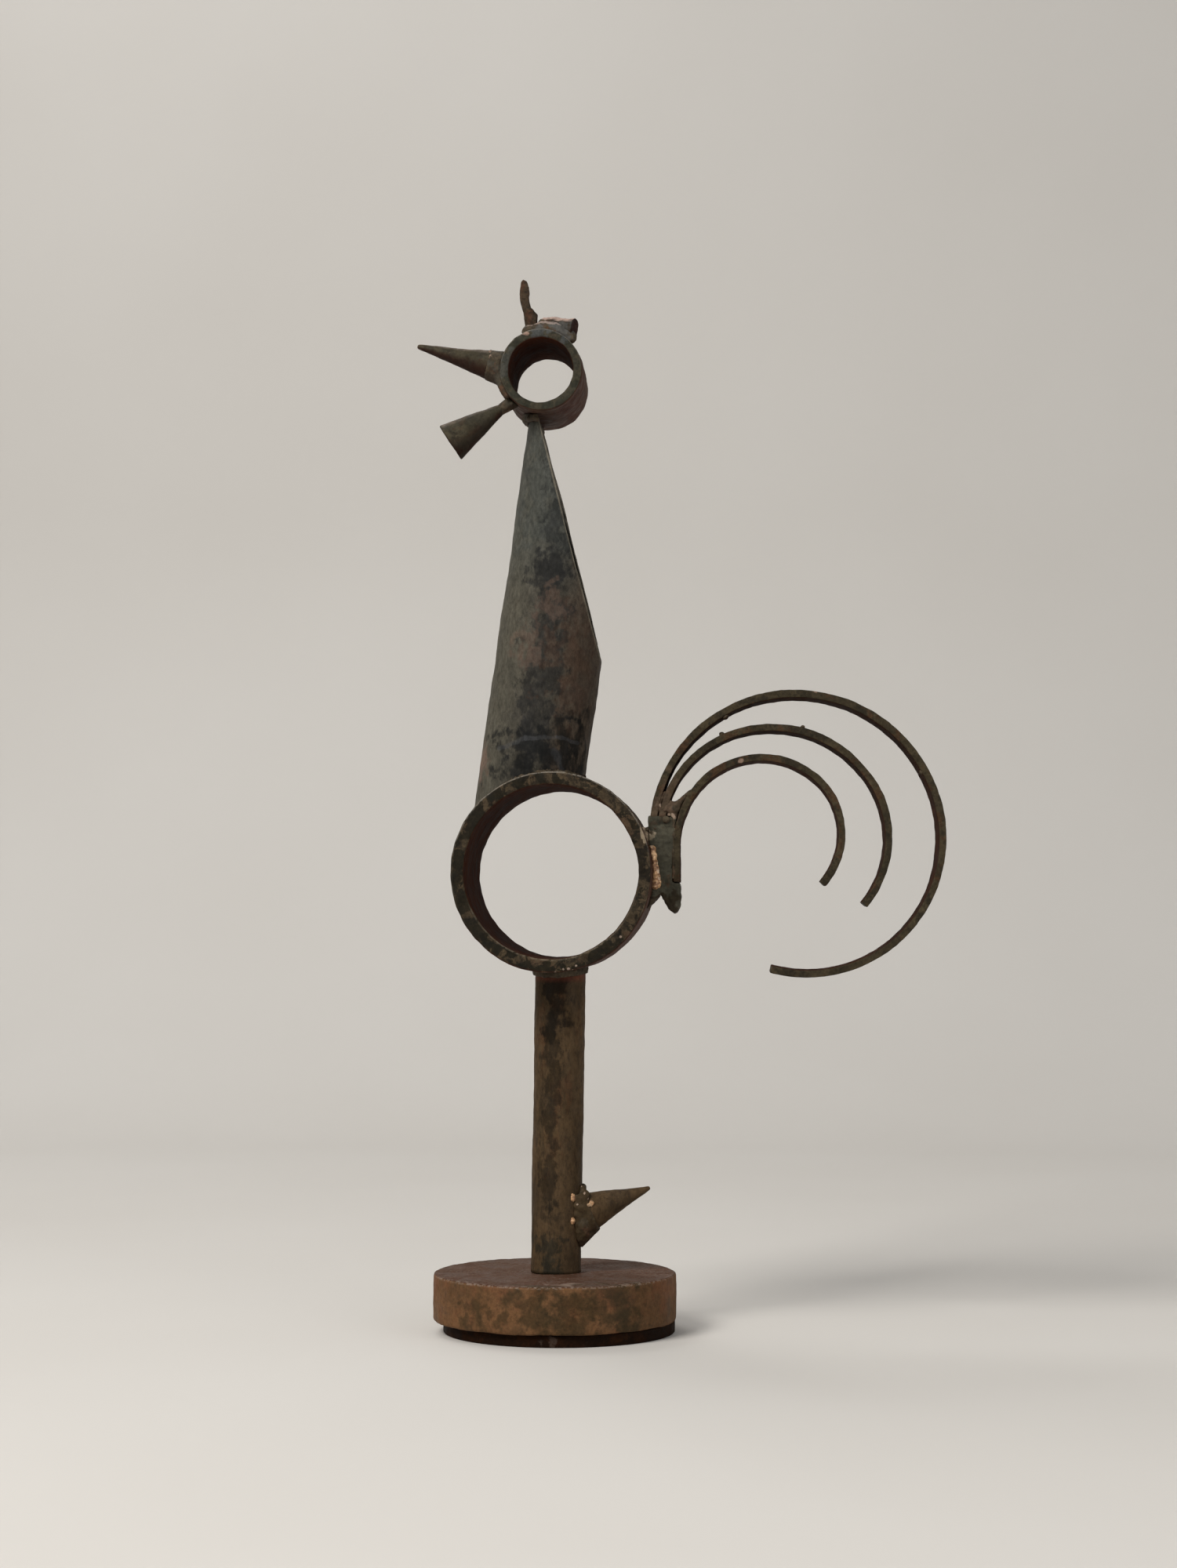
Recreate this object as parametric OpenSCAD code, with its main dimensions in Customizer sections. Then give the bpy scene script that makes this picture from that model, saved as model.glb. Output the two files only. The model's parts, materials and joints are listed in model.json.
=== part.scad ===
// A rooster sculpture welded from scrap iron: pipe rings for body and head, a slanted pipe neck,
// cones for beak and spur, and three bent flat bars for the tail, on a heavy round base.
// The origin is the centre of the base on the surface it stands on. +Z is up, the beak points
// to -X and the tail to +X, and the beads of the welds face -Y. Millimetres and degrees.

/* [Base] */
// Diameter of the base disc
base_d = 110; // [90:1:130]
// Thickness of the base disc
base_h = 21; // [14:0.5:30]
// Radius of the rounding on the rims of the base disc
base_edge_r = 1.2; // [0.4:0.1:3]
// How far the pad's rim stands inside the base disc's rim
pad_inset = 2.7; // [2.2:0.1:8]
// Thickness of the pad
pad_h = 5.5; // [2:0.5:12]
// How far the pad sits off centre, towards the tail
pad_shift = 2; // [0:0.1:2.2]

/* [Base screw] */
// Diameter of the screw that holds the stem
screw_d = 6; // [4:0.5:8]
// Diameter of the screw's countersunk head
screw_head_d = 12; // [10:0.5:16]
// Height of the countersunk head
screw_head_h = 3.3; // [2:0.1:4.5]
// Width of the screw's hexagon socket
screw_socket = 4; // [2.5:0.5:5]
// Depth of the hexagon socket
screw_socket_h = 2.4; // [1:0.1:3]
// How far the screw reaches up into the stem
screw_reach = 14; // [8:1:40]
// Gap round the screw in the base disc
screw_gap = 0.3; // [0.1:0.1:0.6]

/* [Stem] */
// Diameter of the stem
stem_d = 22.8; // [16:0.2:30]
// Height of the stem from the base disc to the underside of the body ring
stem_h = 135.75; // [90:0.25:180]
// How far the foot of the stem stands off the base's centre
stem_x = 0.4; // [-5:0.1:5]
// Lean of the stem towards the tail
stem_lean = 0.9; // [0:0.1:3]
// How far the weld between stem and body ring stands out from the stem
stem_weld = 1.2; // [0.6:0.1:4]
// How far the weld between stem and body ring reaches down from the ring
stem_weld_h = 3; // [1.5:0.1:6]

/* [Spur] */
// Length of the spur
spur_len = 28.5; // [18:0.5:45]
// Diameter of the spur's root
spur_d = 16.9; // [10:0.1:20]
// Diameter of the spur's blunted tip
spur_tip_d = 1.8; // [0.8:0.1:4]
// Upward tilt of the spur
spur_tilt = 22.5; // [5:0.5:40]
// Height of the spur's root above the base disc
spur_rise = 27.8; // [22:0.1:90]
// Distance from the stem's surface to the middle of the spur's root
spur_gap = 4.3; // [3.5:0.1:8]

/* [Body ring] */
// Outer diameter of the body ring
body_d = 88.9; // [80:0.1:110]
// Wall of the body ring
body_wall = 5.8; // [3:0.1:10]
// Length of the body ring
body_len = 80; // [60:1:110]
// How far the body ring's axis stands off the base's centre, towards the tail
body_x = 0.6; // [-3:0.1:5]

/* [Neck] */
// Outer diameter of the neck tube
neck_d = 48.3; // [38:0.1:54]
// Wall of the neck tube
neck_wall = 3.2; // [2:0.1:6]
// Lean of the neck towards the tail
neck_lean = 7.9; // [0:0.1:15]
// How far the neck's axis stands off the body ring's axis, towards the beak
neck_offset = 17; // [0:0.1:19]
// Length of the neck's short side, from the level of the body ring's axis
neck_short_side = 100.8; // [80:0.1:140]
// Angle between the slanted cut and the neck's axis
neck_cut = 22.15; // [18:0.05:30]
// Width of the tip that the slanted cut leaves
neck_tip_w = 5.1; // [4:0.1:12]
// Leg of the weld round the neck's foot
neck_weld = 2.4; // [1.5:0.1:6]
// Leg of the weld at the neck's tip
neck_tip_weld = 3.2; // [1.5:0.1:6]

/* [Head ring] */
// Outer diameter of the head ring
head_d = 37.2; // [30:0.1:46]
// Wall of the head ring
head_wall = 3.9; // [2:0.1:6]
// Length of the head ring
head_len = 54; // [50:0.5:70]
// How far the head ring's axis stands behind the middle of the neck's tip
head_offset = 1.9; // [-2:0.1:5]

/* [Upper beak] */
// Length of the upper beak
upper_len = 34.5; // [20:0.5:50]
// Diameter of the upper beak's root
upper_d = 13.2; // [8:0.1:18]
// Diameter of the upper beak's tip
upper_tip_d = 1.8; // [0.8:0.1:4]
// Upward tilt of the upper beak
upper_tilt = 15.2; // [0:0.1:30]
// Place of the upper beak's root round the head ring, counted up from straight ahead
upper_place = 8; // [-10:1:30]
// Distance from the head ring's surface to the upper beak's root
upper_gap = 4.6; // [3:0.1:8]

/* [Lower beak] */
// Length of the lower beak
lower_len = 28.8; // [18:0.1:40]
// Diameter of the lower beak's wide free end
lower_d = 18.1; // [12:0.1:24]
// Diameter of the lower beak's narrow root
lower_root_d = 4.2; // [3:0.1:8]
// Downward tilt of the lower beak
lower_tilt = 33; // [20:0.5:50]
// Place of the lower beak's root round the head ring, counted down from straight ahead
lower_place = 43; // [35:1:60]
// Distance from the head ring's surface to the lower beak's root
lower_gap = 5; // [3:0.1:8]

/* [Comb] */
// Height of the comb spike above the head ring
spike_h = 23.3; // [14:0.1:36]
// Width of the comb spike at its foot
spike_w = 8.2; // [5:0.1:12]
// Thickness of the comb spike
spike_t = 4; // [2:0.1:6]
// How far the spike's back edge stands in front of the head ring's axis
spike_place = 1.5; // [0:0.1:6]
// Diameter of the comb rod
rod_d = 9.2; // [6:0.1:12]
// Length of the comb rod
rod_len = 15.5; // [10:0.5:24]
// Fall of the comb rod towards the tail
rod_fall = 6.9; // [0:0.1:15]
// Turn of the comb rod's tail end towards the front
rod_turn = 17.6; // [0:0.1:25]

/* [Tail] */
// Width of the tail's flat bars
tail_w = 25; // [15:0.5:40]
// Thickness of the tail's flat bars
tail_t = 3.3; // [2:0.1:4]
// Radius that the outer feather curls with
outer_r = 65.1; // [60:0.1:80]
// Radius that the middle feather curls with
middle_r = 49.8; // [46:0.1:54]
// Radius that the inner feather curls with
inner_r = 39.5; // [32:0.1:41]
// Height of the bracket that carries the feathers
bracket_h = 43.5; // [34:0.5:60]
// Width of the bracket
bracket_w = 10.9; // [10:0.1:16]
// How high the bracket's top stands above the body ring's axis
bracket_rise = 25.3; // [18:0.1:35]
// How deep the bracket is cut to the round of the body ring
bracket_seat = 2.05; // [0.5:0.05:3.5]
// Height of the weld between the feathers' roots
root_weld_h = 11.5; // [6:0.1:14]
// Radius of the largest drops of weld spatter
drop_r = 1.8; // [0.8:0.1:2.5]

/* [Hidden] */
$fn = 96;
// Sides of the round forms inside a hull
hull_fn = 32;
// Overrun of every cut
over = 1;

base_z = pad_h;
base_top = base_z + base_h;
base_r = base_d / 2;
pad_r = base_r - pad_inset;

stem_r = stem_d / 2;

body_r = body_d / 2;
body_z = base_top + stem_h + body_r;

neck_r = neck_d / 2;
// Distances along the neck's axis from the level of the body ring's axis
neck_tip_u = neck_short_side + (neck_d - neck_tip_w) / tan(neck_cut);

head_r = head_d / 2;
// The head ring's axis across and along the neck, and then in the part's frame
head_v = head_offset - (neck_r - neck_tip_w / 2);
head_u = neck_tip_u + head_r;
head_x = body_x - neck_offset + head_v * cos(neck_lean) + head_u * sin(neck_lean);
head_z = body_z + head_u * cos(neck_lean) - head_v * sin(neck_lean);
// The beaks and the comb sit on the front half of the head ring
face_y_share = 0.75;
face_y = -face_y_share * head_len / 2;

spur_r = spur_d / 2;
// The spur's weld: its height on the stem, its half width and how far it wraps the spur
spur_weld_height_share = 1.48;
spur_weld_width_share = 0.89;
spur_weld_half_h = spur_weld_height_share * spur_r;
spur_weld_r = spur_weld_width_share * spur_r;
spur_weld_drop_share = 1.7;
spur_wrap = 1.2;
// Beads of braze on the spur's weld: the share of the turn, the height and the size
spur_bead_shares = [[-0.96, 0.6, 1.0], [-1.02, -0.21, 1.0], [1.1, 0.45, 0.6], [0.84, 0.34, 0.75]];
spur_bead_r = 2;

// The beak welds: how far they wrap the cones and how much wider they are
upper_wrap = 1.5;
upper_weld_step = 0.35;
upper_weld_flare = 3.7;
lower_wrap = 3;
lower_weld_step = 0.5;
lower_weld_flare = 2.8;

// Outline of the comb spike: shares of its width from the front edge and of its height
spike_outline_shares = [
    [0.02, -0.45], [0.29, 0.12], [0.23, 0.25], [0.09, 0.48], [0, 0.64], [0, 0.81], [0.07, 0.96],
    [0.18, 1], [0.35, 0.97], [0.44, 0.9], [0.5, 0.77], [0.5, 0.57], [0.6, 0.46], [0.87, 0.37],
    [1, 0.33], [0.93, 0.2], [1, -0.45]];
rod_r = rod_d / 2;
rod_lift_share = 0.3;
// The comb's weld: its size and how far along the rod it reaches
comb_weld_r = 3.4;
comb_weld_reach_share = 0.6;

tail_half_w = tail_w / 2;
bracket_x = body_x + body_r - bracket_seat;
bracket_top = body_z + bracket_rise;
// Outline of the bracket: shares of its width and height from its top corner at the body ring
bracket_shares = [
    [0, 0], [1.25, 0], [1.15, -0.3], [1.15, -0.66], [1.28, -0.7], [1.28, -0.9], [1.18, -0.985],
    [1.04, -1], [0.87, -0.966], [0.5, -0.8], [0.2, -0.84], [0, -0.83]];
// The wedges of weld above and below the line where the bracket touches the body ring
upper_wedge_shares = [[0, -0.34], [0, -0.1], [-0.14, -0.115], [-0.4, -0.1], [-0.9, -0.16], [-0.6, -0.4]];
lower_wedge_shares = [[0.5, -0.8], [0.14, -0.9], [-0.14, -0.97], [-0.5, -1.02], [-0.6, -0.85], [0, -0.75]];
wedge_inset = 0.6;
// The weld between the feathers' roots: shares of the bracket's width and the weld's height
root_weld_shares = [
    [0.16, 0], [1.25, 0], [1.73, 0.86], [1.6, 0.95], [1.12, 0.6], [0.69, 0.63], [0.8, 1],
    [0.33, 1]];
root_weld_inset = 0.5;

// Each feather: where its root stands on the bracket as a share of the bracket's width, the
// heading of its root, and the radius shares and turns of the arcs that follow
outer_root_share = 0.06;
outer_heading = 81.1;
outer_radius_shares = [1, 1.046, 0.96];
outer_turns = [74.7, 84, 117.9];
middle_root_share = 0.4;
middle_heading = 78.1;
middle_radius_shares = [1, 1.108, 0.966];
middle_turns = [57.8, 77.9, 72.7];
inner_root_share = 1;
inner_heading = 90;
inner_radius_shares = [1.09, 1, 0.89];
inner_turns = [30.2, 93.8, 98.2];
// The straight stretch at a feather's root, and the inner feather's tang down the bracket's side
root_lead = 2;
tang_top_share = 0.3;
tang_bottom_share = 0.68;
// Degrees of curl for each flat of a bent bar
bend_step = 4;

// The bead of braze at the front corner between bracket and body ring
braze_lumps = 6;
braze_r = 2.4;
braze_top_share = -0.35;
braze_bottom_share = -0.7;
braze_lean_share = 0.19;

// Drops of weld spatter on the feathers: shares of the curl and of the largest drop
outer_drop_shares = [[0.197, 1], [0.521, 0.67]];
middle_drop_shares = [[0.273, 0.7], [0.455, 0.61]];
// Drops at the top of the bracket: shares of its width, of its height and of the largest drop
bracket_drop_shares = [[-0.06, -0.13, 0.5], [0.1, -0.16, 0.44], [0.28, -0.12, 0.5], [0.72, -0.03, 1]];

// Colours of the iron, the welds and the braze
black_iron = [0.16, 0.14, 0.12];
brown_iron = [0.27, 0.21, 0.17];
weld_iron = [0.34, 0.28, 0.23];
pad_black = [0.08, 0.07, 0.07];
brass = [0.55, 0.40, 0.24];
bright_steel = [0.55, 0.55, 0.56];

// Places that pieces share

// Turns the children so that their +Z points up and out at an angle in the plane of the picture
module aim(angle) {
    rotate([0, 90 - angle, 0]) children();
}

module in_stem_frame() {
    translate([stem_x, 0, base_top]) rotate([0, stem_lean, 0]) children();
}

module in_neck_frame() {
    translate([body_x - neck_offset, 0, body_z]) rotate([0, neck_lean, 0]) children();
}

// A cylinder along Y, centred on the picture's plane
module cross_cylinder(r, length) {
    rotate([90, 0, 0]) cylinder(h = length, r = r, center = true);
}

module body_solid(grow = 0, extra = 0) {
    translate([body_x, 0, body_z]) cross_cylinder(body_r + grow, body_len + extra);
}

module head_solid(grow = 0, extra = 0) {
    translate([head_x, 0, head_z]) cross_cylinder(head_r + grow, head_len + extra);
}

module stem_solid(grow = 0) {
    in_stem_frame() translate([0, 0, -base_h]) cylinder(h = base_h + stem_h + body_r, r = stem_r + grow);
}

// The neck with its slanted cut, before its bore and before the rings are cut out of it
module neck_solid(grow = 0) {
    in_neck_frame() difference() {
        cylinder(h = head_u, r = neck_r + grow);
        translate([neck_r, 0, neck_short_side])
            rotate([0, -neck_cut, 0])
                translate([0, -neck_d, -neck_d])
                    cube([head_u, 2 * neck_d, 2 * head_u]);
    }
}

// Base

module rounded_disc(r, h, edge) {
    rotate_extrude() {
        square([r - edge, h]);
        translate([0, edge]) square([r, h - 2 * edge]);
        for (z = [edge, h - edge]) translate([r - edge, z]) circle(edge);
    }
}

// The countersunk head and the shank below a given length, grown by a gap
module screw_solid(gap, length) {
    translate([0, 0, base_z]) {
        cylinder(h = screw_head_h, r1 = screw_head_d / 2 + gap, r2 = screw_d / 2 + gap);
        cylinder(h = length, r = screw_d / 2 + gap);
    }
}

module base_disc() {
    color(brown_iron) difference() {
        translate([0, 0, base_z]) rounded_disc(base_r, base_h, base_edge_r);
        translate([stem_x, 0, 0]) screw_solid(screw_gap, base_h + over);
        translate([stem_x, 0, base_z - over]) cylinder(h = 2 * over, r = screw_head_d / 2 + screw_gap);
    }
}

module base_pad() {
    color(pad_black) translate([pad_shift, 0, 0]) cylinder(h = pad_h, r = pad_r);
}

module base_screw() {
    color(bright_steel) difference() {
        translate([stem_x, 0, 0]) screw_solid(0, base_h + screw_reach);
        translate([stem_x, 0, base_z - over])
            cylinder(h = screw_socket_h + over, d = screw_socket / cos(30), $fn = 6);
    }
}

// Stem and spur

module stem_bar() {
    color(black_iron) difference() {
        stem_solid();
        translate([-base_r, -base_r, 0]) cube([base_d, base_d, base_top]);
        body_solid();
        translate([stem_x, 0, 0]) screw_solid(0, base_h + screw_reach);
    }
}

module stem_top_weld() {
    color(weld_iron) difference() {
        intersection() {
            stem_solid(stem_weld);
            body_solid(stem_weld_h);
        }
        stem_solid();
        body_solid(0, over);
    }
}

module at_spur_root() {
    in_stem_frame() translate([stem_r + spur_gap, 0, spur_rise]) aim(spur_tilt) children();
}

module spur_cone() {
    color(black_iron) at_spur_root() cylinder(h = spur_len, r1 = spur_r, r2 = spur_tip_d / 2);
}

module spur_weld_solid() {
    hull($fn = hull_fn) {
        at_spur_root() translate([0, 0, -spur_wrap])
            cylinder(h = 2 * spur_wrap, r = spur_r + spur_wrap / 2, $fn = hull_fn);
        in_stem_frame() for (side = [-spur_weld_drop_share, 1])
            translate([stem_r - spur_gap, 0, spur_rise - spur_wrap + side * (spur_weld_half_h - spur_weld_r)])
                rotate([0, 90, 0]) cylinder(h = spur_gap, r = spur_weld_r, $fn = hull_fn);
    }
}

module spur_weld() {
    color(weld_iron) difference() {
        spur_weld_solid();
        stem_solid();
        at_spur_root() cylinder(h = spur_len, r1 = spur_r, r2 = spur_tip_d / 2);
    }
}

// Beads of braze on the spur's weld and beside it, at the front
module spur_braze() {
    color(brass) difference() {
        in_stem_frame() for (bead = spur_bead_shares)
            translate([stem_r + bead[0] * spur_gap, -spur_weld_r, spur_rise - spur_wrap + bead[1] * spur_weld_half_h])
                sphere(bead[2] * spur_bead_r);
        spur_weld_solid();
        stem_solid();
        at_spur_root() cylinder(h = spur_len, r1 = spur_r, r2 = spur_tip_d / 2);
    }
}

// Body ring and neck

module body_ring() {
    color(brown_iron) difference() {
        body_solid();
        translate([body_x, 0, body_z]) cross_cylinder(body_r - body_wall, body_len + 2 * over);
    }
}

module neck_tube() {
    color(brown_iron) difference() {
        neck_solid();
        in_neck_frame() translate([0, 0, -over]) cylinder(h = head_u + 2 * over, r = neck_r - neck_wall);
        body_solid(0, over);
        translate([head_x, 0, head_z]) cross_cylinder(head_r, neck_d + 2 * over);
    }
}

module neck_foot_weld() {
    color(weld_iron) difference() {
        intersection() {
            in_neck_frame() cylinder(h = neck_short_side, r = neck_r + neck_weld);
            body_solid(neck_weld);
        }
        in_neck_frame() translate([0, 0, -over]) cylinder(h = neck_short_side + 2 * over, r = neck_r);
        body_solid(0, over);
    }
}

// Head

module head_ring() {
    color(brown_iron) difference() {
        head_solid();
        translate([head_x, 0, head_z]) cross_cylinder(head_r - head_wall, head_len + 2 * over);
    }
}

module neck_tip_weld() {
    color(weld_iron) difference() {
        intersection() {
            neck_solid(neck_tip_weld);
            head_solid(neck_tip_weld);
            in_neck_frame() translate([-neck_d, -neck_r, neck_tip_u - neck_tip_w])
                cube([2 * neck_d, neck_d, neck_tip_w + head_r / 2]);
        }
        neck_solid();
        translate([head_x, 0, head_z]) cross_cylinder(head_r, head_len + 2 * over);
    }
}

module at_upper_beak_root() {
    translate([head_x, face_y, head_z])
        aim(180 - upper_place) translate([0, 0, head_r + upper_gap])
            rotate([0, upper_tilt - upper_place, 0]) children();
}

module at_lower_beak_root() {
    translate([head_x, face_y, head_z])
        aim(180 + lower_place) translate([0, 0, head_r + lower_gap])
            rotate([0, lower_place - lower_tilt, 0]) children();
}

module upper_beak() {
    color(black_iron) at_upper_beak_root() cylinder(h = upper_len, r1 = upper_d / 2, r2 = upper_tip_d / 2);
}

module upper_beak_weld() {
    color(weld_iron) difference() {
        at_upper_beak_root() translate([0, 0, -head_r])
            cylinder(
                h = head_r + upper_wrap,
                r1 = upper_d / 2 + upper_weld_flare,
                r2 = upper_d / 2 + upper_weld_step);
        at_upper_beak_root() cylinder(h = upper_len, r1 = upper_d / 2, r2 = upper_tip_d / 2);
        head_solid(0, head_len);
    }
}

module lower_beak() {
    color(black_iron) at_lower_beak_root() cylinder(h = lower_len, r1 = lower_root_d / 2, r2 = lower_d / 2);
}

module lower_beak_weld() {
    color(weld_iron) difference() {
        at_lower_beak_root() translate([0, 0, -head_r])
            cylinder(
                h = head_r + lower_wrap,
                r1 = lower_root_d / 2 + lower_weld_flare,
                r2 = lower_root_d / 2 + lower_weld_step);
        at_lower_beak_root() cylinder(h = lower_len, r1 = lower_root_d / 2, r2 = lower_d / 2);
        head_solid(0, head_len);
    }
}

module rod_solid() {
    translate([head_x + rod_len / 2, face_y, head_z + head_r + rod_lift_share * rod_r])
        rotate([0, 0, -rod_turn]) aim(-rod_fall)
            cylinder(h = rod_len, r = rod_r, center = true);
}

module spike_solid() {
    translate([head_x - spike_place - spike_w, face_y + spike_t / 2, head_z + head_r])
        rotate([90, 0, 0]) linear_extrude(spike_t)
            polygon([for (p = spike_outline_shares) [p[0] * spike_w, p[1] * spike_h]]);
}

module comb_rod() {
    color(black_iron) difference() {
        rod_solid();
        head_solid(0, head_len);
    }
}

module comb_spike() {
    color(brown_iron) difference() {
        spike_solid();
        rod_solid();
        head_solid(0, head_len);
    }
}

module comb_weld() {
    color(weld_iron) difference() {
        hull() for (x = [-spike_place - spike_w / 2, comb_weld_reach_share * rod_len])
            translate([head_x + x, face_y - rod_r / 2, head_z + sqrt(head_r * head_r - x * x)])
                sphere(comb_weld_r, $fn = hull_fn);
        spike_solid();
        rod_solid();
        head_solid(0, head_len);
    }
}

// Tail

// Points along clockwise arcs that follow on from each other, each at a depth inside the outer edge
function arc_chain(p, heading, radii, turns, depth, i = 0) =
    i == len(radii) ? [] :
    let (
        r = radii[i],
        centre = p + r * [sin(heading), -cos(heading)],
        steps = ceil(turns[i] / bend_step),
        points = [for (k = [1 : steps]) let (h = heading - turns[i] * k / steps)
            centre + (r - depth) * [-sin(h), cos(h)]],
        h_end = heading - turns[i])
    concat(points, arc_chain(centre + r * [-sin(h_end), cos(h_end)], h_end, radii, turns, depth, i + 1));

// One edge of a feather: its root's straight stretch and then its arcs
function feather_edge(root, heading, lead, radii, turns, depth) =
    let (
        inward = depth * [sin(heading), -cos(heading)],
        bend = root + lead * [cos(heading), sin(heading)])
    concat([root + inward, bend + inward], arc_chain(bend, heading, radii, turns, depth));

function feather_outline(root, heading, lead, radii, turns) =
    let (
        outside = feather_edge(root, heading, lead, radii, turns, 0),
        inside = feather_edge(root, heading, lead, radii, turns, tail_t))
    concat(outside, [for (i = [len(inside) - 1 : -1 : 0]) inside[i]]);

module across_tail(inset = 0) {
    translate([0, tail_half_w - inset, 0]) rotate([90, 0, 0])
        linear_extrude(tail_w - 2 * inset) children();
}

function on_bracket(share) = [bracket_x + share[0] * bracket_w, bracket_top + share[1] * bracket_h];

outer_root = on_bracket([outer_root_share, 0]);
middle_root = on_bracket([middle_root_share, 0]);
tang_bottom = on_bracket([inner_root_share, -tang_bottom_share]);
tang_len = (tang_bottom_share - tang_top_share) * bracket_h;
outer_radii = outer_r * outer_radius_shares;
middle_radii = middle_r * middle_radius_shares;
inner_radii = inner_r * inner_radius_shares;

// The side of the picture's plane below the bracket's top, where no root may reach
module below_roots() {
    translate([bracket_x - bracket_w, bracket_top - bracket_h]) square([2 * bracket_w, bracket_h]);
}

module outer_shape() {
    difference() {
        polygon(feather_outline(outer_root - [0, root_lead], outer_heading, 2 * root_lead, outer_radii, outer_turns));
        below_roots();
    }
}

module middle_shape() {
    difference() {
        polygon(feather_outline(middle_root - [0, root_lead], middle_heading, 2 * root_lead, middle_radii, middle_turns));
        below_roots();
    }
}

module inner_shape() {
    polygon(feather_outline(tang_bottom, inner_heading, tang_len, inner_radii, inner_turns));
}

module bracket_shape() {
    difference() {
        polygon([for (p = bracket_shares) on_bracket(p)]);
        inner_shape();
    }
}

module tail_bracket() {
    color(black_iron) difference() {
        across_tail() bracket_shape();
        body_solid(0, over);
    }
}

module bracket_weld() {
    color(weld_iron) difference() {
        across_tail(wedge_inset) difference() {
            for (wedge = [upper_wedge_shares, lower_wedge_shares]) polygon([for (p = wedge) on_bracket(p)]);
            bracket_shape();
            inner_shape();
        }
        body_solid(0, over);
    }
}

module feather_outer() {
    color(black_iron) across_tail() outer_shape();
}

module feather_middle() {
    color(black_iron) across_tail() middle_shape();
}

module feather_inner() {
    color(brown_iron) across_tail() inner_shape();
}

module root_weld_shape() {
    polygon([for (p = root_weld_shares) [bracket_x + p[0] * bracket_w, bracket_top + p[1] * root_weld_h]]);
}

module feather_root_weld() {
    color(weld_iron) across_tail(root_weld_inset) difference() {
        root_weld_shape();
        outer_shape();
        middle_shape();
        inner_shape();
    }
}

module tail_braze() {
    color(brass) difference() {
        for (i = [0 : braze_lumps - 1])
            let (
                along = i / (braze_lumps - 1),
                share = braze_top_share + (braze_bottom_share - braze_top_share) * along,
                p = on_bracket([braze_lean_share * (0.5 + along), share]))
            translate([p[0], -tail_half_w, p[1]]) sphere(braze_r);
        across_tail() bracket_shape();
        across_tail(wedge_inset) {
            polygon([for (p = upper_wedge_shares) on_bracket(p)]);
            polygon([for (p = lower_wedge_shares) on_bracket(p)]);
        }
        body_solid(0, over);
    }
}

// The place at a share of a feather's curl, on its outer edge or on the edge inside it
function curl_point(root, heading, lead, radii, turns, depth, share) =
    let (edge = feather_edge(root, heading, lead, radii, turns, depth))
    edge[round(share * (len(edge) - 1))];

module spatter_drop(p, y, share) {
    translate([p[0], y, p[1]]) sphere(share * drop_r);
}

module weld_spatter() {
    color(weld_iron) difference() {
        union() {
            for (drop = outer_drop_shares)
                let (p = curl_point(outer_root, outer_heading, root_lead, outer_radii, outer_turns, tail_t, drop[0]))
                spatter_drop(p, -tail_half_w + drop[1] * drop_r, drop[1]);
            for (drop = middle_drop_shares)
                let (p = curl_point(middle_root, middle_heading, root_lead, middle_radii, middle_turns, 0, drop[0]))
                spatter_drop(p, -tail_half_w + drop[1] * drop_r, drop[1]);
            for (drop = bracket_drop_shares)
                spatter_drop(on_bracket(drop), -tail_half_w, drop[2]);
        }
        across_tail() {
            outer_shape();
            middle_shape();
            inner_shape();
            bracket_shape();
        }
        across_tail(wedge_inset) polygon([for (p = upper_wedge_shares) on_bracket(p)]);
        across_tail(root_weld_inset) root_weld_shape();
        body_solid(0, over);
    }
}

base_disc();
base_pad();
base_screw();
stem_bar();
stem_top_weld();
spur_cone();
spur_weld();
spur_braze();
body_ring();
neck_tube();
neck_foot_weld();
head_ring();
neck_tip_weld();
upper_beak();
upper_beak_weld();
lower_beak();
lower_beak_weld();
comb_spike();
comb_rod();
comb_weld();
tail_bracket();
bracket_weld();
tail_braze();
feather_outer();
feather_middle();
feather_inner();
feather_root_weld();
weld_spatter();
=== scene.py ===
import json
import math

import bmesh
import bpy
from mathutils import Matrix, Vector, noise


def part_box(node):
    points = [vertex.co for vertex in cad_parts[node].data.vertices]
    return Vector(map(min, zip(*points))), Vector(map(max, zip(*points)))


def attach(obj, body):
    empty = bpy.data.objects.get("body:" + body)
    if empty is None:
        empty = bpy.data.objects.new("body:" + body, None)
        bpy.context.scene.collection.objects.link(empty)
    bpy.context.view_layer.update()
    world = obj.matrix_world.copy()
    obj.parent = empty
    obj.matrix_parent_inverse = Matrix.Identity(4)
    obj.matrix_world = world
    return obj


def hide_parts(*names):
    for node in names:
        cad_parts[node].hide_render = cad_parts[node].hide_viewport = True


# A rooster welded from scrap iron, dressed over its CAD frame.
# Metres, in the frame's own axes: +Z up, the beak points to -X and the tail to +X.

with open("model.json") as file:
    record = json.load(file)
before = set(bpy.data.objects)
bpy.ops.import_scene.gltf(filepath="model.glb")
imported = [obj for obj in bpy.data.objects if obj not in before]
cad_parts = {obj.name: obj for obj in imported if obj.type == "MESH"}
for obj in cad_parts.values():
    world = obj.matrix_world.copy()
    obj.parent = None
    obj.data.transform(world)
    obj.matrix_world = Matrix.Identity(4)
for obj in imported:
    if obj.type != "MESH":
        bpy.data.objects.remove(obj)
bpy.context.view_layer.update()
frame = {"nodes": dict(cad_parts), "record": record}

# The drift of the beads' drops is drawn from this seed, so each run gives the same shapes
noise.seed_set(7)

MM = 0.001

# Corners nearer than these are merged
MERGE_GAP = 0.01 * MM
BAR_GAP = 0.005 * MM
LATHE_GAP = 0.002 * MM

SIDEWAYS = Vector((0, 1, 0))

# The slot of each node's finish, as the record has it
SLOTS = {part["node"]: part["material_slot"] for part in frame["record"]["subparts"]}


def middle(node):
    low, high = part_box(node)
    return (low + high) / 2


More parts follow.
